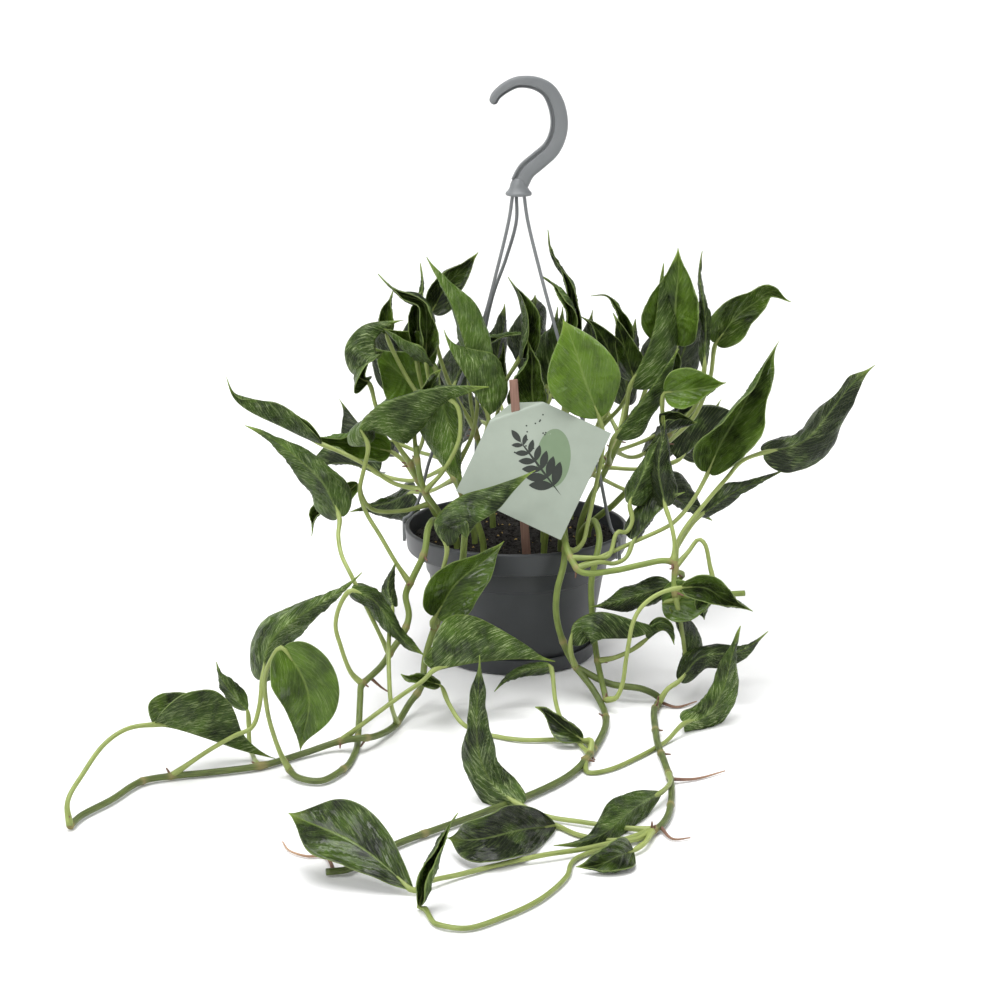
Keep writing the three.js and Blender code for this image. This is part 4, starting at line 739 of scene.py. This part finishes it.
def leaf_spine(leaf, base, tip):
    """The midrib's line, with the direction that the upper face looks along it."""
    along = (tip - base).normalized()
    face = EYE - base.lerp(tip, 0.5)
    face = (face - along * face.dot(along)).normalized()
    width, roll = leaf["form"][:2]
    face = Quaternion(along, math.radians(roll)) @ face
    bend = Path([base, *(place(p, LEAST_HEIGHT + CAD_BLADE) for p in leaf.get("bend", [])), tip])
    arch = leaf.get("arch", 0) + 0.04 * bend.length
    sway = 0.04 * bend.length * math.sin(7 * width + roll + 0.1 * bend.length)
    aside = along.cross(face)

    def midrib(share):
        swayed = aside * sway * math.sin(2 * math.pi * share) * share
        return bend.at(share) + face * arch * math.sin(math.pi * share) + swayed

    def frame_at(share):
        centre = midrib(share)
        forward = (midrib(min(share + 0.01, 1)) - midrib(max(share - 0.01, 0))).normalized()
        up = (face - forward * face.dot(forward)).normalized()
        up = Quaternion(forward, math.radians(leaf.get("twist", 0)) * share) @ up
        return centre, forward, up, forward.cross(up)

    return frame_at, bend.length


def blade_spot(leaf, spot, share, across):
    """A place on the blade with its distance from the midrib. Across runs from -1 to 1."""
    centre, _, up, right = spot
    width, _, fold, bow = leaf["form"]
    outline = max(math.sin(math.pi * share ** leaf.get("peak", 0.6)), 0.0) ** (0.75 + 0.75 * share)
    reach = width / 2 * outline * abs(across)
    uneven = 1.4 + 0.4 * noise.noise(Vector((share * 4.5, math.copysign(3.0, across), width)))
    curl = math.radians(bow) * (0.5 + 0.5 * share) * abs(across) * uneven
    angle = math.radians(fold) + curl / 2
    chord = reach * math.sin(curl / 2) / (curl / 2) if curl > 1e-6 else reach
    wave = 0.04 * width * math.sin(3 * math.pi * share + width) * across**2 * outline
    sideways = math.copysign(chord * math.cos(angle), across) if across else 0.0
    return centre + right * sideways + up * (chord * math.sin(angle) + wave), reach


LEAF_ROWS = 60
LEAF_COLUMNS = 24
VEIN_GAP = 4.2
VEIN_SLOPE = 2.0
PLEAT = 0.5
SWELL = 1.5
RUFFLE = 4.5
GROOVE = 0.35
RIB = 0.8


def grow_blade(mesh, leaf, base, tip, tone, milk, seed):
    """A thin leaf blade with pleats along its side veins, ruffled margins and a ribbed underside."""
    frame_at, length = leaf_spine(leaf, base, tip)
    shares = [0.004 + 0.992 * (0.5 - 0.5 * math.cos(math.pi * i / LEAF_ROWS)) for i in range(LEAF_ROWS + 1)]
    evenly = [2 * j / LEAF_COLUMNS - 1 for j in range(LEAF_COLUMNS + 1)]
    columns = [math.copysign(abs(c) ** 1.15, c) for c in evenly]
    grid = []
    spans = []
    for share in shares:
        spot = frame_at(share)
        pairs = [blade_spot(leaf, spot, share, across) for across in columns]
        grid.append([pair[0] for pair in pairs])
        spans.append([pair[1] for pair in pairs])
    rows = len(shares)
    count = len(columns)
    upper = []
    lower = []
    for i, share in enumerate(shares):
        top_row = []
        under_row = []
        for j, across in enumerate(columns):
            onward = grid[min(i + 1, rows - 1)][j] - grid[max(i - 1, 0)][j]
            sideways = grid[i][min(j + 1, count - 1)] - grid[i][max(j - 1, 0)]
            normal = sideways.cross(onward)
            if normal.length < 1e-6:
                normal = frame_at(share)[2]
            normal.normalize()
            reach = spans[i][j]
            vein = (share * length - VEIN_SLOPE * reach) / VEIN_GAP
            thick = min(1.0, 6 * share, 5 * (1 - share))
            calm = thick * (1 - 0.8 * across**4)
            pleat = PLEAT * math.sin(2 * math.pi * vein) * min(1.0, reach / 5) * calm
            where = grid[i][j]
            rough = noise.noise(where * 0.11 + Vector((seed, 0, 0))) * min(1.0, reach / 8)
            crease = noise.noise(Vector((vein * 1.3, reach * 0.07, seed))) * min(1.0, reach / 6)
            swell = (rough + crease) * SWELL * calm
            edge = Vector((share * length * 0.045, seed * 3.0, across))
            ruffle = noise.noise(edge) * RUFFLE * across**4 * thick
            lift = normal * (pleat + swell + ruffle)
            groove = GROOVE * math.exp(-((reach / 0.9) ** 2)) * thick
            rib = RIB * (1 - share) ** 0.8 * math.exp(-((reach / 1.0) ** 2))
            values = dict(zip(PAINTED, (vein + 40, reach * 1.3 + 1, abs(across), share, tone, milk)))
            high = where + lift + normal * (BLADE / 2 - groove)
            low = where + lift - normal * (BLADE / 2 + rib)
            high.z = max(high.z, LEAST_HEIGHT)
            low.z = max(low.z, LEAST_HEIGHT)
            top_row.append(mesh.point(high, **values))
            under_row.append(mesh.point(low, **values))
        upper.append(top_row)
        lower.append(under_row)
    for i in range(rows - 1):
        for j in range(count - 1):
            mesh.face((upper[i][j], upper[i][j + 1], upper[i + 1][j + 1], upper[i + 1][j]), UPPER)
            mesh.face((lower[i][j], lower[i + 1][j], lower[i + 1][j + 1], lower[i][j + 1]), LOWER)
        mesh.face((upper[i][0], upper[i + 1][0], lower[i + 1][0], lower[i][0]), UPPER)
        mesh.face((upper[i][-1], lower[i][-1], lower[i + 1][-1], upper[i + 1][-1]), UPPER)
    for j in range(count - 1):
        mesh.face((upper[0][j], lower[0][j], lower[0][j + 1], upper[0][j + 1]), UPPER)
        mesh.face((upper[-1][j], upper[-1][j + 1], lower[-1][j + 1], lower[-1][j]), UPPER)


# Each kind of leaf skin, with how light it is and how strong its pale streaks are. The dark skin is painted
# shade: it darkens the back leaves deep inside the crown. The bright skin is partly the lighter green of
# some leaves and partly painted light on leaves that face the lamps.
SKINS = {
    "plain": (0.0, 0.55),
    # Partly painted light: a lighter green for leaves that catch the light.
    "bright": (0.29, 0.4),
    "streaked": (0.1, 1.0),
    "pale": (0.27, 1.0),
    # Painted shade: a darker green for the leaves in the shaded hollow at the back of the crown.
    "dark": (-0.2, 0.35),
}


def grow_leaf(mesh, leaf, grown, draw):
    base = place(leaf["stalk"][-1], STALK_RADIUS + LEAST_HEIGHT)
    tip = place(leaf["tip"], LEAST_HEIGHT + CAD_BLADE)
    points = [place(p, STALK_RADIUS + LEAST_HEIGHT) for p in leaf["stalk"]]
    points[0] = nearest(grown, points[0])
    points.append(leaf_spine(leaf, base, tip)[0](0.13)[0])
    path = Path(points)

    def radius(reach):
        left = path.length - reach
        foot = 0.75 * math.exp(-((reach / 9) ** 2))
        neck = 0.25 * math.exp(-(((left - 12) / 4) ** 2))
        return max(0.45, min(1.4, 0.5 + left / 9)) + foot + neck

    tone, milk = SKINS[leaf.get("skin", "plain")]
    tone += draw.uniform(-0.1, 0.1)
    grow_tube(mesh, path, radius, 10, 2.6, STALK, tone=draw.uniform(-0.1, 0.25))
    grow_blade(mesh, leaf, base, tip, tone, milk, draw.uniform(0, 100))


def nearest(grown, point):
    found = [path.nearest(point)[0] for path in grown]
    return min(found, key=lambda spot: (spot - point).length)


def grow_rootlet(mesh, points, grown):
    spots = [place(p, ROOTLET_RADIUS + LEAST_HEIGHT) for p in points]
    spots[0] = nearest(grown, spots[0])
    path = Path(spots)
    grow_tube(mesh, path, lambda reach: 1.15 - 0.75 * reach / path.length, 8, 1.5, BARK)


def stem_path(stem, grown):
    points = [place(p, STEM_RADIUS + LEAST_HEIGHT) for p in stem["path"]]
    if "root" in stem:
        x, y = stem["root"]
        foot = [Vector((x, y, z)) for z in (SOIL_TOP - ROOT_DEPTH, SOIL_TOP - ROOT_DEPTH / 2, SOIL_TOP + 6)]
        return Path(foot + points)
    points[0] = nearest(grown, points[0])
    return Path(points)


def grow_nub(mesh, path, reach, draw):
    """The short brown stub of an aerial root at a joint of the stem."""
    centre = path.at(reach / path.length)
    direction = (path.at(reach / path.length + 0.01) - centre).normalized()
    side = Quaternion(direction, draw.uniform(0, 2 * math.pi)) @ carried(direction, Vector((0, 0, 1)))
    out = (side + direction * 0.4).normalized()
    length = draw.uniform(4.5, 7)
    stub = Path([centre, centre + out * length * 0.6, centre + out * length])
    grow_tube(mesh, stub, lambda at: 0.95 - 0.5 * at / length, 7, 1.0, BARK)


# A stem longer than this has joints without a leaf too. Further than this from its foot, most joints
# carry the stub of a root.
LONG_STEM = 200
STUBS_FROM = 60
STUB_SHARE = 0.7


def grow_stems(name):
    """All the stems of one plant node with their leaves and aerial roots, as one piece."""
    mesh = Mesh()
    draw = random.Random(name)
    grown = []
    for stem in (entry for entry in STEMS if entry["node"] == name):
        path = stem_path(stem, grown)
        feet = [place(leaf["stalk"][0], STALK_RADIUS + LEAST_HEIGHT) for leaf in stem["leaves"]]
        joints = [path.nearest(foot)[1] for foot in feet]
        length = path.length
        if length > LONG_STEM:
            joints += [length * k / 7 for k in range(2, 7)]
        tone = draw.uniform(-0.1, 0.15)
        grow_tube(mesh, path, lambda reach: 2.2 - 0.3 * reach / length, 14, 2.2, STEM, joints, tone, 0.45)
        grown.append(path)
        for leaf in stem["leaves"]:
            grow_leaf(mesh, leaf, grown, draw)
        for points in stem.get("rootlets", []):
            grow_rootlet(mesh, points, grown)
        for joint in joints:
            if joint > STUBS_FROM and draw.random() < STUB_SHARE:
                grow_nub(mesh, path, joint, draw)
    materials = [STEM_SKIN, STALK_SKIN, UPPER_FACE, LOWER_FACE, ROOT_BARK]
    return fit(mesh.build("grown_" + name, materials), "foliage", name)


for name in dict.fromkeys(stem["node"] for stem in STEMS):
    grow_stems(name)


def rounded(profile, size):
    """The profile with each corner off the axis rounded, in steps fine enough to look smooth."""
    points = []
    for i, corner in enumerate(profile):
        if i in (0, len(profile) - 1):
            points.append(corner)
            continue
        here = Vector(corner)
        before = Vector(profile[i - 1]) - here
        after = Vector(profile[i + 1]) - here
        start = here + before.normalized() * min(size, before.length * 0.45)
        end = here + after.normalized() * min(size, after.length * 0.45)
        for k in range(6):
            t = k / 5
            points.append(tuple(start * (1 - t) ** 2 + here * 2 * t * (1 - t) + end * t**2))
    return points


def turn(mesh, profile, segments, centre=0.0):
    """A form turned about an upright axis, from its radii and heights. A height may depend on x and y."""
    rings = []
    for radius, height in profile:
        ring = []
        for k in range(segments if radius else 1):
            angle = 2 * math.pi * k / segments
            x, y = radius * math.cos(angle), radius * math.sin(angle)
            level = height(x, y) if callable(height) else height
            ring.append(mesh.point(Vector((centre + x, y, level))))
        rings.append(ring)
    for first, second in zip(rings, rings[1:]):
        mesh.ring(first, second)


def mould_pot():
    profile = [
        (0, POT_FLOOR),
        (FOOT_RADIUS - 2, POT_FLOOR),
        (FOOT_RADIUS, POT_FLOOR + 2),
        (BAND_RADIUS, BAND_HEIGHT - 1),
        (SHOULDER_RADIUS - 0.6, BAND_HEIGHT),
        (SHOULDER_RADIUS, POT_HEIGHT - COLLAR_HEIGHT - 2),
        (RIM_RADIUS - 1.5, POT_HEIGHT - COLLAR_HEIGHT),
        (RIM_RADIUS, POT_HEIGHT - 1),
        (RIM_RADIUS - 1, POT_HEIGHT),
        (RIM_RADIUS - WALL - 1, POT_HEIGHT),
        (RIM_RADIUS - WALL - 1.5, POT_HEIGHT - COLLAR_HEIGHT + WALL),
        (SHOULDER_RADIUS - WALL, POT_HEIGHT - COLLAR_HEIGHT - WALL),
        (BAND_RADIUS - WALL, BAND_HEIGHT - WALL),
        (FOOT_RADIUS - WALL, POT_FLOOR + WALL),
        (0, POT_FLOOR + WALL),
    ]
    mesh = Mesh()
    turn(mesh, rounded(profile, 1.1), 160)
    fit(mesh.build("moulded_pot", [ANTHRACITE], 50), "pot_plastic", "pot")


def mould_saucer():
    seat = POT_FLOOR - GAP
    profile = [
        (0, 0),
        (SAUCER_RADIUS - 3, 0),
        (SAUCER_RADIUS - 1, 1),
        (SAUCER_RADIUS, SAUCER_HEIGHT),
        (SAUCER_RADIUS - 1.6, SAUCER_HEIGHT),
        (SAUCER_RADIUS - 3, SAUCER_FLOOR),
        (FOOT_RADIUS - 6, SAUCER_FLOOR),
        (FOOT_RADIUS - 6.5, seat),
        (FOOT_RADIUS - 9, seat),
        (FOOT_RADIUS - 9.5, SAUCER_FLOOR),
        (0, SAUCER_FLOOR),
    ]
    mesh = Mesh()
    turn(mesh, rounded(profile, 0.7), 144)
    fit(mesh.build("moulded_saucer", [ANTHRACITE], 50), "pot_plastic", "drip_saucer")


def crumb(mesh, where, size, draw, finish):
    """A small irregular lump: an octahedron with uneven corners."""
    corners = []
    for way in ((1, 0, 0), (0, 1, 0), (-1, 0, 0), (0, -1, 0), (0, 0, 1), (0, 0, -1)):
        spread = Vector([draw.uniform(0.5, 1.1) * w + draw.uniform(-0.25, 0.25) for w in way])
        corners.append(mesh.point(where + spread * size))
    for k in range(4):
        mesh.face((corners[k], corners[(k + 1) % 4], corners[4]), finish)
        mesh.face((corners[(k + 1) % 4], corners[k], corners[5]), finish)


CRUMBS = 1500
CRUMBS_PER_CHIP = 25
CRUMB_REACH = 69


def fill_compost():
    """Loose compost that fills the pot, uneven on top, with crumbs and a few pale bark chips."""

    def height(x, y):
        bowl = SOIL_TOP - 3 * max(0.0, (math.hypot(x, y) - 55) / 15) ** 2
        coarse = noise.noise(Vector((x * 0.07, y * 0.07, 3.0))) * 1.8
        fine = noise.noise(Vector((x * 0.45, y * 0.45, 9.0))) * 1.0
        return bowl + coarse + fine - 0.8

    inside = WALL + GAP
    outer = [
        (0, POT_FLOOR + inside),
        (FOOT_RADIUS - inside - 0.5, POT_FLOOR + inside),
        (BAND_RADIUS - inside, BAND_HEIGHT - inside),
        (SHOULDER_RADIUS - inside, POT_HEIGHT - COLLAR_HEIGHT - WALL),
        (RIM_RADIUS - inside - 3, POT_HEIGHT - COLLAR_HEIGHT + inside),
    ]
    top = [(RIM_RADIUS - inside - 2.2 - k * 1.15, height) for k in range(61)]
    mesh = Mesh()
    turn(mesh, outer + top + [(0, height)], 150)
    draw = random.Random(7)
    for k in range(CRUMBS):
        angle = draw.uniform(0, 2 * math.pi)
        reach = CRUMB_REACH * math.sqrt(draw.random())
        x, y = reach * math.cos(angle), reach * math.sin(angle)
        size = draw.uniform(0.5, 1.9)
        crumb(mesh, Vector((x, y, height(x, y))), size, draw, int(k % CRUMBS_PER_CHIP == 0))
    fit(mesh.build("loose_compost", [PEAT, CHIPS]), "compost", "compost")


mould_pot()
mould_saucer()
fill_compost()

# The hook's middle line with its width at each point, [across, up, width], from its tip to its boss.
HOOK_LINE = [
    [-15.8, 369.5, 5.6],
    [-13.6, 374.7, 6.4],
    [-7.8, 379.7, 7],
    [-1, 383, 7.2],
    [4.5, 383.6, 7.6],
    [12.4, 382.4, 8.6],
    [19.9, 378, 9.8],
    [25, 369, 11],
    [27, 357.5, 11.4],
    [25.5, 348.4, 11.6],
    [21.4, 340.6, 11.8],
    [13.7, 333.6, 12],
    [5.9, 326.8, 12],
    [1.6, 318.9, 12],
]
HOOK_WEB = 3
HOOK_BEAD = 7
TIP_ROUND = 2.8
BOSS_TOP = 319
BOSS_UNDERSIDE = 311
STRAP_RADIUS = 1.25
HANGER_CENTRE = 1.1
HOOK_STEPS = 110


def mould_hook():
    """A broad round-edged bead with a groove and a thin lip on its inner side, over a flared boss."""
    mesh = Mesh()
    line = Path([Vector((x, 0, z)) for x, z, _ in HOOK_LINE])
    stations = [line.nearest(Vector((x, 0, z)))[1] for x, z, _ in HOOK_LINE]
    rings = []
    for i in range(HOOK_STEPS + 1):
        share = i / HOOK_STEPS
        reach = share * line.length
        centre = line.at(share)
        way = (line.at(share + 0.005) - line.at(share - 0.005)).normalized()
        out = Vector((-way.z, 0, way.x))
        k = max(0, min(len(stations) - 2, sum(1 for s in stations if s <= reach) - 1))
        part = min(1.0, max(0.0, (reach - stations[k]) / (stations[k + 1] - stations[k])))
        wide = HOOK_LINE[k][2] * (1 - part) + HOOK_LINE[k + 1][2] * part
        ending = min(1.0, reach / TIP_ROUND + 0.05)
        taper = math.sqrt(ending * (2 - ending))
        h = wide / 2 * taper
        web = HOOK_WEB / 2
        bead = HOOK_BEAD / 2 * taper
        lip = 0.09 * wide * taper
        groove = 0.24 * wide * taper
        section = [
            (-h, 0.5 * web),
            (-h + 0.3 * lip, 1.5 * web * taper),
            (-h + lip, 1.6 * web * taper),
            (-h + 1.2 * lip, 0.7 * web * taper),
            (-h + groove, 0.7 * web * taper),
            (-h + 1.15 * groove, 0.85 * bead),
            (-h + 1.4 * groove, 0.93 * bead),
            (0.6 * h, bead),
            (0.85 * h, 0.86 * bead),
            (h, 0.45 * bead),
        ]
        section += [(n, -d) for n, d in reversed(section)]
        rings.append([mesh.point(centre + out * n + Vector((0, d, 0))) for n, d in section])
    mesh.loft(rings)
    boss = [
        (0, BOSS_UNDERSIDE),
        (8.4, BOSS_UNDERSIDE),
        (8.6, BOSS_UNDERSIDE + 1.8),
        (7.2, BOSS_UNDERSIDE + 3),
        (6, BOSS_UNDERSIDE + 5),
        (5.3, BOSS_TOP),
        (3.6, BOSS_TOP + 3),
        (0, BOSS_TOP + 4),
    ]
    turn(mesh, rounded(boss, 0.8), 64, HANGER_CENTRE)
    fit(mesh.build("moulded_hook", [GREY_PLASTIC], 40), "hanger_plastic", "hook")


STRAPS = {
    "strap_left": {
        "clip": 172,
        "path": [[-5.2, 295, 0], [-13, 262, 0], [-23, 225, -2], [-42, 176, -6],
                 [-58, 134, -10], [-65, 108, -12]],
    },
    "strap_right": {
        "clip": -28,
        "path": [[6.9, 295, 2], [15.2, 261, 7], [22.2, 235, 11], [38, 180, 20], [54, 130, 28]],
    },
    "strap_back": {
        "clip": 112,
        "path": [[-0.3, 295, -3], [-7, 270, -14], [-15.5, 246, -24], [-22, 215, -36],
                 [-26, 170, -50], [-27, 130, -62]],
    },
}


def mould_strap(name):
    """A thin round strap from under the boss, over the rim, with a flat lug against the collar."""
    entry = STRAPS[name]
    angle = math.radians(entry["clip"])
    way = Vector((math.cos(angle), math.sin(angle), 0))
    over = RIM_RADIUS + GAP + STRAP_RADIUS + 0.2
    points = [Vector((HANGER_CENTRE, 0, BOSS_UNDERSIDE - GAP)) + way * 4]
    points += [place(p) for p in entry["path"]]
    rim = [
        (RIM_RADIUS - 4.5, POT_HEIGHT + 6),
        (RIM_RADIUS - 1.5, POT_HEIGHT + STRAP_RADIUS + 1),
        (over - 0.3, POT_HEIGHT + 0.8),
        (over, POT_HEIGHT - 3),
        (over, POT_HEIGHT - COLLAR_HEIGHT),
    ]
    clip = [way * radius + Vector((0, 0, height)) for radius, height in rim]
    mesh = Mesh()
    grow_tube(mesh, Path(points + clip), lambda reach: STRAP_RADIUS - 0.1, 12, 1.6, 0)
    sideways = Vector((-way.y, way.x, 0))
    centre = way * (RIM_RADIUS + 0.9) + Vector((0, 0, POT_HEIGHT - 8))
    lug = []
    for depth, trim in ((-0.5, 0.0), (0.3, 0.0), (0.6, 0.5)):
        ring = []
        for across, up in ((-1, -1), (-1, 1), (1, 1), (1, -1)):
            corner = sideways * across * (2.9 - trim) + Vector((0, 0, up * (5.5 - trim)))
            ring.append(mesh.point(centre + way * depth + corner))
        lug.append(ring)
    mesh.loft(lug)
    fit(mesh.build("moulded_" + name, [GREY_PLASTIC], 40), "hanger_plastic", name)


mould_hook()
for name in STRAPS:
    mould_strap(name)

STAKE_FOOT = [8.4, 50, 51]
STAKE_TOP = [-2.2, 189, 50]
STAKE_WIDTH = 5.6
STAKE_THICKNESS = 2.4


def saw_stake():
    """A flat sawn stake with lightly eased edges."""
    foot, top = place(STAKE_FOOT), place(STAKE_TOP)
    way = (top - foot).normalized()
    wide = carried(way, Vector((1, 0, 0)))
    deep = way.cross(wide)
    mesh = Mesh()
    rings = []
    ease = 0.35
    stations = [(0, 0.4), (0.004, 0.0)] + [(k / 40, 0.0) for k in range(1, 40)] + [(0.996, 0.0), (1, 0.3)]
    for share, trim in stations:
        centre = foot.lerp(top, share)
        w, d = STAKE_WIDTH / 2 - trim, STAKE_THICKNESS / 2 - trim
        half = [(-w + ease, -d), (w - ease, -d), (w, -d + ease), (w, d - ease)]
        corners = half + [(-a, -b) for a, b in half]
        rough = noise.noise(centre * 0.3) * 0.06
        rings.append([mesh.point(centre + wide * (a + rough) + deep * (b + rough)) for a, b in corners])
    mesh.loft(rings)
    fit(mesh.build("sawn_stake", [BIRCH], 30), "stake_wood", "stake")


CARD_CORNERS = {
    "right": [63, 152.5, 57],
    "bottom": [30, 78.5, 82],
    "left": [-40.5, 112.7, 70.5],
    "foldLeft": [-19, 160, 54.3],
    "foldRight": [18.6, 173.4, 49.8],
    "back": [1, 177, 26],
}
CARD = 0.5
FOLD_ROUND = 1.6


def card_surface():
    """Gives the place and outward direction of the card's face, by distances up its two lower edges."""
    spot = {name: place(corner) for name, corner in CARD_CORNERS.items()}
    origin = spot["bottom"]
    along = spot["right"] - origin
    width = along.length
    along.normalize()
    upward = spot["left"] - origin
    height = upward.length
    upward.normalize()
    outward = along.cross(upward).normalized()
    fold_a, fold_b = (
        Vector(((spot[key] - origin).dot(along), (spot[key] - origin).dot(upward)))
        for key in ("foldLeft", "foldRight")
    )
    line = (fold_b - fold_a).normalized()
    past = Vector((line.y, -line.x))
    if past.x + past.y < 0:
        past = -past
    middle = (spot["foldLeft"] + spot["foldRight"]) / 2
    flap = spot["back"] - middle
    onward = along * past.x + upward * past.y
    turn_by = math.acos(max(-1.0, min(1.0, flap.normalized().dot(onward.normalized()))))

    def at(u, v, lift=0.0):
        beyond = Vector((u - fold_a.x, v - fold_a.y)).dot(past)
        flat = origin + along * u + upward * v
        bow = 1.2 * math.sin(math.pi * u / width) * math.sin(math.pi * v / height)
        if beyond <= 0:
            return flat + outward * (lift + bow * min(1.0, -beyond / 20))
        hinge = flat - onward * beyond
        arc = FOLD_ROUND * turn_by
        angle = min(beyond / FOLD_ROUND, turn_by)
        centre = hinge - outward * FOLD_ROUND
        facing = outward * math.cos(angle) + onward * math.sin(angle)
        going = onward * math.cos(angle) - outward * math.sin(angle)
        return centre + facing * (FOLD_ROUND + lift) + going * max(0.0, beyond - arc)

    return at, width, height


def ink_shape(mesh, at, outline, finish, lift=0.07):
    """A printed shape: a thin film that follows the card's face, from its outline in millimetres."""
    middle = sum((Vector(p) for p in outline), Vector((0, 0))) / len(outline)
    rings = []
    for scale in (1.0, 0.66, 0.33):
        ring = [middle.lerp(Vector(p), scale) for p in outline]
        rings.append([mesh.point(at(q.x, q.y, lift)) for q in ring])
    rings.append([mesh.point(at(middle.x, middle.y, lift))])
    for first, second in zip(rings, rings[1:]):
        mesh.ring(first, second, finish)


def turned(place_at, points, angle):
    """Flat points turned by an angle and moved."""
    cos, sin = math.cos(angle), math.sin(angle)
    return [(place_at[0] + x * cos - y * sin, place_at[1] + x * sin + y * cos) for x, y in points]


def oval(centre, long, short, angle, count=28):
    turns = [2 * math.pi * k / count for k in range(count)]
    return turned(centre, [(long * math.cos(t), short * math.sin(t)) for t in turns], angle)


def leaflet(foot, length, width, angle, count=12):
    edge = [(k / count, 1) for k in range(count)] + [(1 - k / count, -1) for k in range(count)]
    points = [(length * t, side * width / 2 * math.sin(math.pi * t) ** 0.8) for t, side in edge]
    return turned(foot, points, angle)


def print_card():
    """The folded card, printed with a plain sprig, a soft green oval and a few dots."""
    at, width, height = card_surface()
    mesh = Mesh()
    cells = 72
    shares = [k / cells for k in range(cells + 1)]
    sides = []
    for lift in (0.0, -CARD):
        spots = [[at(width * u, height * v, lift) for v in shares] for u in shares]
        sides.append([[mesh.point(spot) for spot in row] for row in spots])
    front, back = sides
    for i in range(cells):
        for j in range(cells):
            mesh.face((front[i][j], front[i + 1][j], front[i + 1][j + 1], front[i][j + 1]), PAPER)
            mesh.face((back[i][j], back[i][j + 1], back[i + 1][j + 1], back[i + 1][j]))
        mesh.face((front[i][0], back[i][0], back[i + 1][0], front[i + 1][0]))
        mesh.face((front[i][-1], front[i + 1][-1], back[i + 1][-1], back[i][-1]))
        mesh.face((front[0][i], front[0][i + 1], back[0][i + 1], back[0][i]))
        mesh.face((front[-1][i], back[-1][i], back[-1][i + 1], front[-1][i + 1]))
    ink_shape(mesh, at, oval((width * 0.6, height * 0.36), 19, 11, math.radians(20), 40), SOFT_INK, 0.05)
    sprig = math.radians(62)
    foot = (width * 0.34, height * 0.16)
    for k in range(6):
        reach = 8 + 6.5 * k
        spot = (foot[0] + reach * math.cos(sprig), foot[1] + reach * math.sin(sprig))
        size = 16 - 1.7 * k
        for side in (1, -1):
            ink_shape(mesh, at, leaflet(spot, size, size * 0.4, sprig + side * math.radians(52)), DARK_PRINT)
    end = (foot[0] + 43 * math.cos(sprig), foot[1] + 43 * math.sin(sprig))
    ink_shape(mesh, at, leaflet(end, 10, 4, sprig), DARK_PRINT)
    ink_shape(mesh, at, leaflet(foot, 48, 1.5, sprig), DARK_PRINT)
    draw = random.Random(3)
    for k in range(14):
        spot = (width * draw.uniform(0.5, 0.9), height * draw.uniform(0.5, 0.72))
        ink_shape(mesh, at, oval(spot, 0.55, 0.55, 0, 10), DARK_PRINT)
    fit(mesh.build("printed_card", [SAGE_CARD, GREEN_INK, DARK_INK], 40), "card", "care_card")


saw_stake()
print_card()


FLOOR_FLAT = 2000
FLOOR_BEND = 800
FLOOR_WALL = 1400
LENS = 83.4
EYE_TILT = 15.2

# Each lamp has its place and aim in metres, its size in metres and its power in watts.
LAMPS = (
    ("overhead", (-0.3, -0.3, 2.2), (0, 0, 0.1), 1.8, 44),
    ("backdrop_wash", (0, 0.6, 2.6), (0, 2.2, 0.9), 1.5, 44),
    ("left_softbox", (-1.7, -1.0, 1.2), (0, 0, 0.2), 0.8, 13),
    ("right_softbox", (1.8, -0.9, 1.3), (0, 0, 0.2), 0.9, 9),
    ("front_softbox", (-0.8, -1.7, 1.5), (0, 0, 0.15), 0.4, 9),
)


def set_stage():
    """A plain pale floor that curves up all round, soft light and broad lamps."""
    paint, _, surface = start_material("pale_matt_paint", 0.9, 1.45)
    surface.inputs["Base Color"].default_value = linear("#f4f4f4")
    bends = [math.radians(7.5 * k) for k in range(12, 0, -1)]
    profile = [(FLOOR_FLAT + FLOOR_BEND, FLOOR_WALL)]
    profile += [(FLOOR_FLAT + FLOOR_BEND * math.sin(a), FLOOR_BEND * (1 - math.cos(a))) for a in bends]
    profile += [(FLOOR_FLAT * k / 4, 0) for k in range(4, -1, -1)]
    mesh = Mesh()
    turn(mesh, profile, 96)
    mesh.build("pale_floor", [paint])

    world = bpy.data.worlds.new("soft_room")
    bpy.context.scene.world = world
    world.use_nodes = True
    sky = world.node_tree.nodes["Background"]
    sky.inputs[0].default_value = linear("#ffffff")
    sky.inputs[1].default_value = 0.2
    bpy.context.scene.view_settings.view_transform = "Standard"

    for name, spot, aim, size, power in LAMPS:
        lamp = bpy.data.lights.new(name, "AREA")
        lamp.size = size
        lamp.energy = power
        holder = bpy.data.objects.new(name, lamp)
        holder.location = spot
        holder.rotation_euler = (Vector(aim) - Vector(spot)).to_track_quat("-Z", "Y").to_euler()
        bpy.context.scene.collection.objects.link(holder)


def set_camera():
    data = bpy.data.cameras.new("camera")
    data.lens = LENS
    data.sensor_width = 36
    data.clip_end = 50
    camera = bpy.data.objects.new("camera", data)
    camera.location = EYE * MM
    camera.rotation_euler = (math.radians(90 - EYE_TILT), 0, 0)
    bpy.context.scene.collection.objects.link(camera)
    bpy.context.scene.camera = camera


set_stage()
set_camera()
